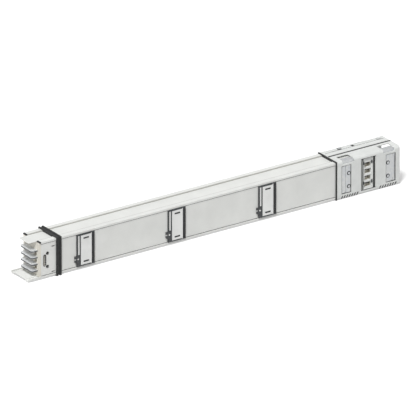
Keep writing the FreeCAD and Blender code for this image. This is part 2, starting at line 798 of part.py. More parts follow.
def block_cover(side):
    """A moulded half shell, from its long seam on the block's top round the side to the seam below."""
    body = new_body(f"block_cover_{side}")
    sign = "-" if side == "front" else ""
    edge = f"{sign}(seam)"
    outer_face = f"{sign}(block_face)"
    inner_face = f"{sign}(block_inner)"
    corners = [
        (edge, "0"),
        (outer_face, "0"),
        (outer_face, "block_top"),
        (edge, "block_top"),
        (edge, "block_top - wall"),
        (inner_face, "block_top - wall"),
        (inner_face, "wall"),
        (edge, "wall"),
    ]
    pad(body, "X", "block_start", "block_end", polygon(*corners))
    face = value(outer_face)
    inside = value(inner_face)
    hollows = [(inside, value("wall")), (inside, value("block_top - wall"))]
    round_edges(body, "X", hollows, "round_edge - wall")
    round_edges(body, "X", [(face, 0), (face, value("block_top"))], "round_edge")
    openings = [
        rectangle(
            "block_start + pocket_in",
            "block_start + pocket_in + pocket_wide",
            "pocket_floor",
            "pocket_roof",
        ),
        rectangle(
            "block_end - pocket_in - pocket_wide",
            "block_end - pocket_in",
            "pocket_floor",
            "pocket_roof",
        ),
        rectangle(
            "joint_mid - block_window_wide / 2",
            "joint_mid + block_window_wide / 2",
            "block_window_floor",
            "block_window_roof",
        ),
    ]
    pocket(body, *span_y(side, "block_inner - 1", "block_face + 1", *openings))
    notch_depth = "notch_back" if side == "front" else "rear_notch_back"
    for start, end in NOTCHES.values():
        near, far = outward(side, f"block_face - {notch_depth}", "block_face + 1")
        corner = rectangle(near, far, "block_top - notch_drop", "block_top + 1")
        pocket(body, "X", start, end, corner)
    groove = polygon(
        (f"{sign}(block_face - grip_cut)", "0"),
        (f"{sign}(block_face)", "grip_cut"),
        (f"{sign}(block_face + 1)", "grip_cut"),
        (f"{sign}(block_face + 1)", "-1"),
        (f"{sign}(block_face - grip_cut)", "-1"),
    )
    for first in ("block_start + grip_in", f"block_end - grip_in - {GRIPS - 1} * grip_pitch - grip_wide"):
        grip_cuts = pocket(body, "X", first, f"{first} + grip_wide", groove)
        line_pattern(body, grip_cuts, "X", f"{GRIPS - 1} * grip_pitch", GRIPS)
    if side == "back":
        near, far = outward(side, "track_edge", "track_edge + track_wide")
        track = rectangle("block_start + track_in", "block_end - track_in", near, far)
        pocket(body, "Z", "block_top - track_sunk", "block_top + 1", track)
        slot_mid = "track_edge + track_wide / 2"
        slot = rectangle(
            "block_end - track_slot_in - track_slot",
            "block_end - track_slot_in",
            f"{slot_mid} - track_slot_wide / 2",
            f"{slot_mid} + track_slot_wide / 2",
        )
        key = rectangle(
            "block_start + track_key_in",
            "block_start + track_key_in + track_key",
            "track_edge + 1",
            "track_edge + 1 + track_key_long",
        )
        pocket(body, "Z", "block_top - wall - 1", "block_top + 1", slot, key)
        tab = rectangle(
            "block_start + tab_in",
            "block_start + tab_in + tab_long",
            f"{slot_mid} - tab_wide / 2",
            f"{slot_mid} + tab_wide / 2",
        )
        pad(body, "Z", "block_top - track_sunk", "block_top", tab)
    return body


for side in SIDES:
    block_cover(side)


bolt = new_body("block_bolt")
bolt_foot = "block_top - track_sunk"
bolt_seat = f"{bolt_foot} + bolt_washer_high"
bolt_middle = "block_start + bolt_in"
pad(bolt, "Z", bolt_foot, bolt_seat, circle(bolt_middle, "bolt_off", "bolt_washer"))
hexagon = []
for corner in range(6):
    across = f"bolt_head * {math.cos(corner * math.pi / 3):.6f}"
    up = f"bolt_head * {math.sin(corner * math.pi / 3):.6f}"
    hexagon.append((f"{bolt_middle} + {across}", f"bolt_off + {up}"))
pad(bolt, "Z", bolt_seat, f"{bolt_seat} + bolt_head_high", polygon(*hexagon))


def cover_clips(side):
    """Bent clips in the notches: a foot behind the cover's wall and a leg over the casing's rim."""
    sign = "-" if side == "front" else ""
    for end_name, (start, end) in NOTCHES.items():
        body = new_body(f"cover_clip_{side}_{end_name}")
        strap = [
            (f"{sign}(half_deep - clip_back)", "roof + grip"),
            (f"{sign}(block_inner - clip_thick)", "roof + grip"),
            (f"{sign}(block_inner - clip_thick)", "clip_low"),
            (f"{sign}(block_inner)", "clip_low"),
            (f"{sign}(block_inner)", "roof + grip"),
            (f"{sign}(block_inner - clip_thick)", "roof + grip + clip_thick"),
            (f"{sign}(half_deep - clip_back)", "roof + grip + clip_thick"),
        ]
        pad(body, "X", f"{start} + clip_play", f"{end} - clip_play", polygon(*strap))


for side in SIDES:
    cover_clips(side)


def clamp_plate(side, end_name):
    """A steel plate behind a pocket: a raised part towards the joint, two screw holes and two bosses."""
    body = new_body(f"clamp_plate_{side}_{end_name}")
    if end_name == "left":
        left, right = "block_start + pocket_in", "block_start + pocket_in + pocket_wide"
        raised_left, raised_right = f"{left} + pocket_step", f"{right} - grip"
        hole_at = "block_start + pocket_screw"
        boss_left = f"{left} + boss_in"
    else:
        left, right = "block_end - pocket_in - pocket_wide", "block_end - pocket_in"
        raised_left, raised_right = f"{left} + grip", f"{right} - pocket_step"
        hole_at = "block_end - pocket_screw"
        boss_left = f"{right} - boss_in - boss"
    plate = rectangle(
        f"{left} - plate_edge",
        f"{right} + plate_edge",
        "pocket_floor - plate_edge",
        "pocket_roof + plate_edge",
    )
    raised = rectangle(raised_left, raised_right, "pocket_floor + grip", "pocket_roof - grip")
    bosses = [
        rectangle(boss_left, f"{boss_left} + boss", low, f"{low} + boss")
        for low in ("pocket_floor + boss_in", "pocket_roof - boss_in - boss")
    ]
    holes = [
        circle(hole_at, f"fix_high {step} fix_pitch / 2", "screw_hole / 2") for step in ("-", "+")
    ]
    pad(body, *span_y(side, "block_inner - plate_thick", "block_inner", plate))
    pad(body, *span_y(side, "block_inner", "step_face", raised))
    pad(body, *span_y(side, "block_inner", "step_face", *bosses))
    pocket(body, *span_y(side, "block_inner - plate_thick - 1", "step_face + 1", *holes))
    return body


for side in SIDES:
    for end_name in ("left", "right"):
        clamp_plate(side, end_name)


# Inside of the joint

core = new_body("joint_core")
core_left, core_right = "joint_mid - core_long / 2", "joint_mid + core_long / 2"
core_box = rectangle("-core_half", "core_half", "inner_floor + core_room", "inner_roof - core_room")
pad(core, "X", core_left, core_right, core_box)
jaw_slots = []
for number in range(BARS):
    middle = f"bar_mid + {number} * bar_pitch"
    half = "(bar_thick / 2 + jaw_thick + core_room)"
    wide = "(core_half - core_flank)"
    jaw_slots.append(rectangle(f"-{wide}", wide, f"{middle} - {half}", f"{middle} + {half}"))
pocket(core, "X", f"{core_left} - 1", f"{core_right} + 1", *jaw_slots)

BLOCK_SEAL = (
    "joint_mid + block_window_wide / 2 - block_rim - block_seal",
    "joint_mid + block_window_wide / 2 - block_rim",
    "block_window_floor + block_rim",
    "block_window_roof - block_rim",
)
slots_at_joint = windows("joint_mid - well_half", "joint_mid + well_half")


def block_outlet(side):
    """The moulded window body in the block's middle opening, with its flange behind the cover."""
    body = new_body(f"block_outlet_{side}")
    left, right = "joint_mid - block_window_wide / 2", "joint_mid + block_window_wide / 2"
    flange = rectangle(
        f"{left} - window_lap",
        f"{right} + window_lap",
        "block_window_floor - window_lap",
        "block_window_roof + window_lap",
    )
    pad(body, *span_y(side, "half_deep + core_room", "block_inner", flange))
    inner = rectangle(left, right, "floor + lip_high + core_room", "roof - lip_high - core_room")
    pad(body, *span_y(side, "core_half", "half_deep + core_room", inner))
    well = rectangle(
        f"{left} + block_pillar",
        f"{right} - block_seal - 2 * block_rim",
        "block_window_floor + block_rim",
        "block_window_roof - block_rim",
    )
    pocket(body, *span_y(side, "block_inner - block_sunk", "block_inner + 1", well))
    groove = rectangle(
        f"{left} + block_pillar * 0.35",
        f"{left} + block_pillar * 0.65",
        "block_window_floor + block_rim",
        "block_window_roof - block_rim",
    )
    pocket(body, *span_y(side, "block_inner - block_sunk", "block_inner + 1", groove))
    seal_room = rectangle(*BLOCK_SEAL)
    pocket(body, *span_y(side, "block_inner - block_sunk", "block_inner + 1", seal_room))
    pocket(body, *span_y(side, "core_half - 1", "block_inner + 1", *slots_at_joint))
    return body


for side in SIDES:
    block_outlet(side)
    pocket(core, *span_y(side, "core_half - core_flank - 1", "core_half + 1", *slots_at_joint))

# Nodes of several like pieces that don't touch: each is one compound of solids.


def gather(label, bodies):
    group = doc.addObject("Part::Compound", label)
    group.Label = label
    group.Links = bodies
    return group


def contact_jaw(number, place):
    """A spring plate on one face of the bars: flared lips at both ends and slits between its fingers."""
    jaw = new_body(f"jaw_{place}_{number + 1}")
    sign = "-" if place == "under" else ""
    near = f"(bar_mid + {number} * bar_pitch + {sign}(bar_thick / 2))"
    far = f"({near} + {sign}(jaw_thick))"
    flare = f"{sign}(jaw_flare)"
    left, right = "joint_mid - jaw_long / 2", "joint_mid + jaw_long / 2"
    profile = [
        (left, f"{near} + {flare}"),
        (f"{left} + jaw_lip", near),
        (f"{right} - jaw_lip", near),
        (right, f"{near} + {flare}"),
        (right, f"{far} + {flare}"),
        (f"{right} - jaw_lip", far),
        (f"{left} + jaw_lip", far),
        (left, f"{far} + {flare}"),
    ]
    pad(jaw, "Y", "-(jaw_half)", "jaw_half", polygon(*profile))
    finger = f"(2 * jaw_half / {FINGERS})"
    slit = f"-(jaw_half) + {finger}"
    low = f"bar_mid + {number} * bar_pitch - bar_pitch / 2"
    slit_low, slit_high = f"{slit} - jaw_slit / 2", f"{slit} + jaw_slit / 2"
    slits = [
        rectangle(f"{left} - 1", f"{left} + jaw_slit_long", slit_low, slit_high),
        rectangle(f"{right} - jaw_slit_long", f"{right} + 1", slit_low, slit_high),
    ]
    row = pocket(jaw, "Z", low, f"{low} + bar_pitch", *slits)
    line_pattern(jaw, row, "Y", f"{FINGERS - 2} * {finger}", FINGERS - 1)
    return jaw


jaws = [contact_jaw(number, place) for number in range(BARS) for place in ("under", "over")]
gather("contact_jaws", jaws)


def outlet_seal(side, number):
    """The black strip down the hinge side of an outlet."""
    body = new_body(f"seal_{side}_{number + 1}")
    strip = rectangle(*OUTLET_SEAL)
    pad(body, *span_y(side, "frame_face - seal_deep", "frame_face - seal_sunk", strip))
    body.Placement = FreeCAD.Placement()
    bind(body, "Placement.Base.x", f"band_start + outlet_first + {number} * outlet_pitch")
    return body


def block_seal(side):
    body = new_body(f"seal_block_{side}")
    strip = rectangle(*BLOCK_SEAL)
    pad(body, *span_y(side, "block_inner - block_sunk", "block_inner + latch_proud", strip))
    return body


def block_latch(side, left, middle, name):
    """A latch at one side of an outlet body's well, with a bevelled nose."""
    body = new_body(f"latch_{side}_{name}")
    outline = rectangle(left, f"{left} + latch", f"{middle} - latch_high / 2", f"{middle} + latch_high / 2")
    pad(body, *span_y(side, "block_inner - block_sunk", "block_inner + latch_proud", outline))
    nose = value("block_inner + latch_proud") * (-1 if side == "front" else 1)
    ends = [(nose, value(middle) + turn * value("latch_high / 2")) for turn in (-1, 1)]
    cut_corners(body, "X", ends, "latch_proud")
    return body


LATCH_SIDES = {
    "left": "joint_mid - block_window_wide / 2 + block_pillar",
    "right": "joint_mid + block_window_wide / 2 - block_seal - 2 * block_rim - latch",
}
LATCH_LEVELS = {"low": "floor + latch_low", "top": "floor + latch_top"}
latches = [
    block_latch(side, left, middle, f"{end_name}_{level}")
    for side in SIDES
    for end_name, left in LATCH_SIDES.items()
    for level, middle in LATCH_LEVELS.items()
]
gather("block_latches", latches)

seals = [outlet_seal(side, number) for side in SIDES for number in range(OUTLETS)]
seals += [block_seal(side) for side in SIDES]
gather("outlet_seals", seals)

gasket = new_body("block_gasket")
gasket_box = rectangle("-block_inner", "block_inner", "wall", "block_top - wall")
pad(gasket, "X", "block_start", "block_start + gasket_wide", gasket_box, casing_outline("0"))
round_edges(gasket, "X", casing_corners, "bend")
gasket_edges = [
    (y * value("block_inner"), value(z)) for y in (-1, 1) for z in ("wall", "block_top - wall")
]
round_edges(gasket, "X", gasket_edges, "round_edge - wall")
lip_box = rectangle(
    "-(block_face - gasket_back)",
    "block_face - gasket_back",
    "gasket_back",
    "block_top - gasket_back",
)
pad(gasket, "X", "block_start - gasket_lip", "block_start", lip_box, casing_outline("0"))

doc.recompute()
grouped = {body.Name for body in jaws + latches + seals}
nodes = [
    thing
    for thing in doc.Objects
    if thing.TypeId in ("PartDesign::Body", "Part::Compound") and thing.Name not in grouped
]
for thing in doc.Objects:
    if "Invalid" in thing.State or "Error" in thing.State:
        raise RuntimeError(f"{thing.Label} is in state {thing.State}")
for node in nodes:
    if node.Shape.isNull() or not node.Shape.isValid():
        raise RuntimeError(f"{node.Label} has no valid shape")

os.makedirs("parts", exist_ok=True)
for node in nodes:
    node.Shape.exportStep(f"parts/{node.Label}.step")
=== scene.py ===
# %% [markdown]
# # A straight busway section
#
# A busway carries a building's heavy current in flat bars inside a sheet casing, instead of in
# cables. This is one straight section: bare bar tips that plug into the next section at the left, a
# long painted casing with six tap-off outlets, and the joint block that takes the next section's
# tips at the right.
#
# The solids, with their real sizes and their moving doors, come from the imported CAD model. Blender
# adds the finishes, the soft edges, the small fasteners and the rubber trim.

import json
import math

import bmesh
import bpy
from mathutils import Matrix, Vector


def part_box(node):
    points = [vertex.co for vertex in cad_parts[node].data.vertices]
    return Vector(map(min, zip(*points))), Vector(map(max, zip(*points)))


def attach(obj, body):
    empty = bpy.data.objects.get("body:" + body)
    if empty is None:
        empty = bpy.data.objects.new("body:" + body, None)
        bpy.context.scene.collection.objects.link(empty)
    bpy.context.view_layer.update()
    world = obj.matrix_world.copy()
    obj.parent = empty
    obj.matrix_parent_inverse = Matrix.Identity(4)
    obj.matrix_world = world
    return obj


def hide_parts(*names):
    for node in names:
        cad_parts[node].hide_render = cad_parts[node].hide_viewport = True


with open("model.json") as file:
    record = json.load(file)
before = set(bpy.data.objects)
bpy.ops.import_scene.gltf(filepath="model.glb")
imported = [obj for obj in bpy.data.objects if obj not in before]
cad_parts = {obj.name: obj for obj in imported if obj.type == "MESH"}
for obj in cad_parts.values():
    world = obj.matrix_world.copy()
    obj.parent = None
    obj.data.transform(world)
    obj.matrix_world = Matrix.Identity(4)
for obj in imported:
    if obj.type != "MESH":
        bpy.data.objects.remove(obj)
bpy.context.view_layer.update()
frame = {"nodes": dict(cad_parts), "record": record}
MM = 0.001
SIDES, ENDS, OUTLETS = ("front", "back"), ("left", "right"), (1, 2, 3)


# %% [markdown]
# ## Camera
#
# The drawing is a parallel view: the edges of the long casing stay parallel. A camera with a very
# long lens, far away, gives almost that view. Its direction comes from the slopes of the three sets
# of edges in the drawing, and its distance from the size of the object in the frame. An
# orthographic camera would match even closer, but it doesn't step back when other views are asked
# for, so the long lens is the safer choice.

# %% Camera
VIEW_AZIMUTH = -34.27
VIEW_ELEVATION = 23.16
FRAME_WIDTH = 1.541
LENS = 1600
SENSOR = 36
CLIP_START, CLIP_END = 1.0, 400.0
TARGET = Vector((0.0062, 0.0, 0.0824))


def towards_camera(azimuth, elevation):
    """A unit vector from the object to the camera. Azimuth 0 looks along +Y."""
    around, up = math.radians(azimuth), math.radians(elevation)
    level = math.cos(up)
    return Vector((math.sin(around) * level, -math.cos(around) * level, math.sin(up)))


camera_data = bpy.data.cameras.new("studio_camera")
camera_data.lens = LENS
camera_data.sensor_width = SENSOR
camera_data.clip_start = CLIP_START
camera_data.clip_end = CLIP_END
camera = bpy.data.objects.new("studio_camera", camera_data)
bpy.context.scene.collection.objects.link(camera)
away = towards_camera(VIEW_AZIMUTH, VIEW_ELEVATION)
camera.location = TARGET + away * (FRAME_WIDTH * LENS / SENSOR)
camera.rotation_euler = away.to_track_quat("Z", "Y").to_euler()
bpy.context.scene.camera = camera
print("camera distance, m:", round((camera.location - TARGET).length, 1))

# %% [markdown]
# ## Colours and nodes
#
# Colours are written as hex values, as a paint chart or an image editor gives them. Cycles works in
# linear light, so one function turns a hex value to linear. A second one adds a node with its
# settings, its links and its colour ramp in one call, which keeps each material's recipe short
# enough to read.


# %% Colour and node helpers
def linear(hex_colour):
    """Turns an sRGB colour such as #D6D8D6 into linear RGBA."""
    parts = [int(hex_colour[place : place + 2], 16) / 255 for place in (1, 3, 5)]
    return [p / 12.92 if p <= 0.04045 else ((p + 0.055) / 1.055) ** 2.4 for p in parts] + [1.0]


def feed(tree, node, links):
    """Links outputs to a node's sockets, which are told by name or number."""
    for name, source in links.items():
        tree.links.new(source, node.inputs[name])


def add(tree, kind, values=None, links=None, ramp=(), **settings):
    """Adds a node: its properties, values and colour ramp, and the outputs that feed it."""
    made = tree.nodes.new(kind)
    for name, setting in settings.items():
        setattr(made, name, setting)
    for name, value in (values or {}).items():
        made.inputs[name].default_value = value
    for stop, (position, colour) in enumerate(ramp):
        made.color_ramp.elements[stop].position = position
        made.color_ramp.elements[stop].color = linear(colour)
    feed(tree, made, links or {})
    return made


def joined(tree, operation, values):
    """All values multiplied, or the largest of them, two at a time."""
    total = values[0]
    for value in values[1:]:
        both = add(tree, "ShaderNodeMath", links={0: total, 1: value}, operation=operation)
        total = both.outputs[0]
    return total


def blank_material(name, colour, roughness, metallic=0.0, **values):
    """A material with one Principled shader. Returns the material, its tree and the shader."""
    material = bpy.data.materials.new(name)
    material.use_nodes = True
    tree = material.node_tree
    shader = tree.nodes["Principled BSDF"]
    values.update({"Base Color": linear(colour), "Roughness": roughness, "Metallic": metallic})
    for socket, value in values.items():
        shader.inputs[socket].default_value = value
    return material, tree, shader


def per_mm(size):
    """The scale at which a texture on metre coordinates repeats about every so many millimetres."""
    return 1 / (size * MM)


WHITE = linear("#FFFFFF")
print("white, linear:", WHITE)

# %% [markdown]
# ## The studio
#
# The drawing has a white ground, so the object stands on a white floor that runs out of the frame.
# A matt floor under soft light is a pale grey to a camera, as snow is. A photographer lights the
# floor on its own to get white: here the floor glows for camera, glossy and transmission rays only,
# which Light Path tells apart. It keeps the object's shadow and sends no light onto the object. The
# world does the same.
#
# The section is over a metre and a half long, and a lamp beside it would leave one end darker than
# the other. So the key lamp is a sun lamp, which lights the whole length alike, with a spread of 12
# degrees that softens its shadows. It stands high at the left: the top, the front and the left end
# each get their own shade, and every lip and recess throws a thin shadow, as the drawing's lines
# ask. A weak wide lamp fills the front, a stronger one behind keeps the back from going dull when
# the section is seen from there, and a plain world fills the rest.

# %% Floor, world and lamps
bpy.context.scene.view_settings.view_transform = "Standard"
FLOOR_SIZE = 60.0
FLOOR_GLOW = 0.4
WORLD_LIGHT = 0.22


def seen_rays(tree):
    """1 for the rays that see the background: from the camera, off a gloss or through glass."""
    path = add(tree, "ShaderNodeLightPath").outputs
    return joined(
        tree, "MAXIMUM", [path[f"Is {kind} Ray"] for kind in ("Camera", "Glossy", "Transmission")]
    )


def studio_floor():
    shape = bmesh.new()
    bmesh.ops.create_grid(shape, x_segments=1, y_segments=1, size=FLOOR_SIZE / 2)
    mesh = bpy.data.meshes.new("studio_floor")
    shape.to_mesh(mesh)
    shape.free()
    floor = bpy.data.objects.new("studio_floor", mesh)
    bpy.context.scene.collection.objects.link(floor)
    material, tree, shader = blank_material("white studio floor", "#D8D8D8", 0.9)
    level = add(
        tree, "ShaderNodeMath", {1: FLOOR_GLOW}, {0: seen_rays(tree)}, operation="MULTIPLY"
    )
    glow = add(tree, "ShaderNodeEmission", {"Color": WHITE}, {"Strength": level.outputs[0]})
    both = add(tree, "ShaderNodeAddShader", links={0: shader.outputs[0], 1: glow.outputs[0]})
    feed(tree, tree.nodes["Material Output"], {"Surface": both.outputs[0]})
    mesh.materials.append(material)


def studio_world():
    world = bpy.data.worlds.new("studio")
    bpy.context.scene.world = world
    world.use_nodes = True
    tree = world.node_tree
    tree.nodes.clear()
    light = add(tree, "ShaderNodeBackground", {"Color": WHITE, "Strength": WORLD_LIGHT})
    white = add(tree, "ShaderNodeBackground", {"Color": WHITE, "Strength": 1.0})
    mixed = add(
        tree,
        "ShaderNodeMixShader",
        links={0: seen_rays(tree), 1: light.outputs[0], 2: white.outputs[0]},
    )
    add(tree, "ShaderNodeOutputWorld", links={"Surface": mixed.outputs[0]})


def far_lamp(name, azimuth, elevation, strength, spread):
    """A lamp so far away that it lights the whole length alike. Spread is its width in degrees."""
    lamp_data = bpy.data.lights.new(name, "SUN")
    lamp_data.angle = math.radians(spread)
    lamp_data.energy = strength
    lamp = bpy.data.objects.new(name, lamp_data)
    bpy.context.scene.collection.objects.link(lamp)
    lamp.rotation_euler = towards_camera(azimuth, elevation).to_track_quat("Z", "Y").to_euler()


studio_floor()
studio_world()
far_lamp("key_lamp", azimuth=-50, elevation=57, strength=2.9, spread=12)
far_lamp("fill_lamp", azimuth=25, elevation=25, strength=0.15, spread=40)
far_lamp("back_lamp", azimuth=215, elevation=25, strength=0.7, spread=40)
print("floor, world and", len(bpy.data.lights), "lamps")

# %% [markdown]
# ## Powder-coated steel
#
# The casing covers and side plates are pressed from steel sheet and powder coated. The powder melts
# and flows in the oven, and leaves a satin skin with a faint orange peel, waves about 2 mm apart.
# At this camera's distance 2 mm is under a pixel, so a second, slower mottle about 70 mm across is
# added to the roughness, as coarse as it needs to be to show in a long highlight.
#
# The channel floor is darkened along the foot of the raised rims on top of the casing. This is
# painted shade for that corner, in the grey of settled dust. Slings and gloves rub the rims' inner
# edges down to the grey primer. Object coordinates are real metres here, so both places are found by
# their distance from the middle and their height.

# %% Painted corner shade and rubbed edges
# sizes in millimetres, and how much painted corner shade or rubbing there is at most, from 0 to 1
CHANNEL_HALF, CHANNEL_FLOOR, RIM_TOP = 34.5, 147, 151
DUST_SHADE_WIDE, DUST_SHADE_MOST, DUST_SHADE_STARTS = 3.0, 0.85, 1
RUB_WIDE, RUB_MOST = 2.8, 0.6
RUB_STARTS, RUB_FULL = 1, 0.4
WALL_FADE = 0.5
PATCH_SIZE, PATCH_SPREAD = 25, 0.3


def channel_shade_and_wear(tree, place):
    """How much painted corner shade or rubbed wear each point gets, from 0 to 1."""
    axes = add(tree, "ShaderNodeSeparateXYZ", links={"Vector": place}).outputs
    across = add(tree, "ShaderNodeMath", links={0: axes["Y"]}, operation="ABSOLUTE").outputs[0]
    up = axes["Z"]
    # Each row: a distance, its first and last millimetre, and the values that they turn into.
    # The first four rows paint shade into the channel's corners at the rims' feet.
    dust_and_shade = (
        (across, CHANNEL_HALF - DUST_SHADE_WIDE, CHANNEL_HALF, 0, DUST_SHADE_MOST),
        (across, CHANNEL_HALF + WALL_FADE, CHANNEL_HALF + 2 * WALL_FADE, 1, 0),
        (up, CHANNEL_FLOOR - 2 * DUST_SHADE_STARTS, CHANNEL_FLOOR - DUST_SHADE_STARTS, 0, 1),
        (up, CHANNEL_FLOOR, RIM_TOP, 1, 0),
    )
    rub = (
        (across, CHANNEL_HALF - WALL_FADE, CHANNEL_HALF, 0, RUB_MOST),
        (across, CHANNEL_HALF + RUB_WIDE / 2, CHANNEL_HALF + RUB_WIDE, 1, 0),
        (up, RIM_TOP - RUB_STARTS, RIM_TOP - RUB_FULL, 0, 1),
    )
    shade_and_wear = []
    for rows in (dust_and_shade, rub):
        steps = []
        for value, low, high, first, last in rows:
            limits = {"From Min": low * MM, "From Max": high * MM, "To Min": first, "To Max": last}
            step = add(tree, "ShaderNodeMapRange", limits, {"Value": value})
            steps.append(step.outputs["Result"])
        shade_and_wear.append(joined(tree, "MULTIPLY", steps))
    noise = add(
        tree, "ShaderNodeTexNoise", {"Scale": per_mm(PATCH_SIZE), "Detail": 4.0}, {"Vector": place}
    )
    patches = add(
        tree,
        "ShaderNodeMapRange",
        {"To Min": 1 - PATCH_SPREAD, "To Max": 1 + PATCH_SPREAD},
        {"Value": noise.outputs["Fac"]},
    )
    return joined(tree, "MULTIPLY", [joined(tree, "MAXIMUM", shade_and_wear), patches.outputs["Result"]])


# %% Powder-coated steel
PEEL_SIZE, PEEL_DEEP = 2, 0.03
MOTTLE_SIZE = 70


def powder_coated_steel():
    material, tree, shader = blank_material("powder-coated steel", "#DCDDDA", 0.42, IOR=1.5)
    place = add(tree, "ShaderNodeTexCoord").outputs["Object"]
    peel = add(
        tree, "ShaderNodeTexNoise", {"Scale": per_mm(PEEL_SIZE), "Detail": 2.0}, {"Vector": place}
    )
    mottle = add(
        tree, "ShaderNodeTexNoise", {"Scale": per_mm(MOTTLE_SIZE), "Detail": 3.0}, {"Vector": place}
    )
    rough = add(
        tree,
        "ShaderNodeMapRange",
        {"From Min": 0.3, "From Max": 0.7, "To Min": 0.36, "To Max": 0.5},
        {"Value": mottle.outputs["Fac"]},
    )
    tint = add(
        tree,
        "ShaderNodeValToRGB",
        links={"Fac": mottle.outputs["Fac"]},
        ramp=((0.3, "#D8D9D6"), (0.7, "#E0E1DE")),
    )
    # 8A8880 is mixed in as painted shade in those corners, and as primer where the rims are rubbed.
    shaded_and_worn = add(
        tree,
        "ShaderNodeMixRGB",
        {"Color2": linear("#8A8880")},
        {"Fac": channel_shade_and_wear(tree, place), "Color1": tint.outputs["Color"]},
    )
    bump = add(
        tree,
        "ShaderNodeBump",
        {"Strength": 0.25, "Distance": PEEL_DEEP * MM},
        {"Height": peel.outputs["Fac"]},
    )
    surface = {"Base Color": shaded_and_worn.outputs["Color"], "Roughness": rough.outputs["Result"]}
    feed(tree, shader, surface | {"Normal": bump.outputs["Normal"]})
    return material


# %% [markdown]
# ## Moulded plastics
#
# The block covers, outlet frames and doors are injection moulded. The steel mould is spark eroded,
# and its fine craters, about 0.4 mm across, print a grain on the plastic that takes the gloss off.
# They are drawn twice as coarse, so that they show. The doors come from a smoother mould with wider
# and shallower craters. One function makes all of them: colour, grain size and gloss differ.


# %% Moulded plastics
CLOUD_SIZE, GLOSS_SPREAD = 35, 0.06


def moulded_plastic(name, colour, shade, grain, roughness, depth):
    """Colour and shade are the ends of a faint variation. Grain and depth are in millimetres."""
    material, tree, shader = blank_material(name, colour, roughness, IOR=1.53)
    place = add(tree, "ShaderNodeTexCoord").outputs["Object"]
    craters = add(
        tree,
        "ShaderNodeTexVoronoi",
        {"Scale": per_mm(grain)},
        {"Vector": place},
        feature="SMOOTH_F1",
    )
    clouds = add(
        tree, "ShaderNodeTexNoise", {"Scale": per_mm(CLOUD_SIZE), "Detail": 4.0}, {"Vector": place}
    )
    tint = add(
        tree,
        "ShaderNodeValToRGB",
        links={"Fac": clouds.outputs["Fac"]},
        ramp=((0.35, shade), (0.65, colour)),
    )
    rough = add(
        tree,
        "ShaderNodeMapRange",
        {"To Min": roughness - GLOSS_SPREAD, "To Max": roughness + GLOSS_SPREAD},
        {"Value": clouds.outputs["Fac"]},
    )
    bump = add(
        tree,
        "ShaderNodeBump",
        {"Strength": 0.4, "Distance": depth * MM},
        {"Height": craters.outputs["Distance"]},
    )
    surface = {"Base Color": tint.outputs["Color"], "Roughness": rough.outputs["Result"]}
    feed(tree, shader, surface | {"Normal": bump.outputs["Normal"]})
    return material


# %% [markdown]
# ## Moulded insulator
#
# The comb, the bar supports and the joint core hold live bars apart, so they are hot pressed from
# polyester filled with short glass fibres. Close up, the fibres show as pale flecks a few
# millimetres long under the skin.


# %% Moulded insulator
FIBRE_SIZE, FIBRE_DEEP = 6, 0.03
FIBRE_TURN, FIBRE_SQUEEZE = (0.4, 0.9, 0.7), (1, 6, 6)


def moulded_insulator():
    material, tree, shader = blank_material("glass-filled polyester", "#DCD9CF", 0.5, IOR=1.55)
    place = add(tree, "ShaderNodeTexCoord").outputs["Object"]
    slanted = add(
        tree,
        "ShaderNodeMapping",
        {"Rotation": FIBRE_TURN, "Scale": FIBRE_SQUEEZE},
        {"Vector": place},
    )
    fibres = add(
        tree,
        "ShaderNodeTexNoise",
        {"Scale": per_mm(FIBRE_SIZE), "Detail": 3.0},
        {"Vector": slanted.outputs["Vector"]},
    )
    flecks = add(
        tree,
        "ShaderNodeValToRGB",
        links={"Fac": fibres.outputs["Fac"]},
        ramp=((0.5, "#D2CEC3"), (0.72, "#EBE9E1")),
    )
    bump = add(
        tree,
        "ShaderNodeBump",
        {"Strength": 0.2, "Distance": FIBRE_DEEP * MM},
        {"Height": fibres.outputs["Fac"]},
    )
    feed(tree, shader, {"Base Color": flecks.outputs["Color"], "Normal": bump.outputs["Normal"]})
    return material


# %% [markdown]
# ## Bar and contact metals
#
# The bars are extruded aluminium: the die leaves fine lines along the bar. A noise that is
# stretched a hundred times along X gives those lines, 0.8 mm apart, drawn a little coarser than
# real so that they show. Its thin oxide skin scatters some light as paint does, so the metallic
# value is under 1, and the bars stay pale where they have only dark things to mirror. Every
# upright face of a bar, its long sides as well as its cut tips, is given a dark grey. This is
# painted shade, and it draws a bold dark edge along each bar. The contact jaws are tinned copper
# alloy, smoother and a shade warmer, rubbed along the way the bars slide in, with clean punched
# edges that get only a faint painted shade in the same way. The normal tells a level face from an
# edge. Both keep the default IOR, because a metal's colour comes from its base colour.


# %% Bar and contact metals
LINE_STRETCH, LINE_DEEP, LINE_SPREAD = 0.01, 0.02, 0.1
UPRIGHT, LEVEL = 0.3, 0.8


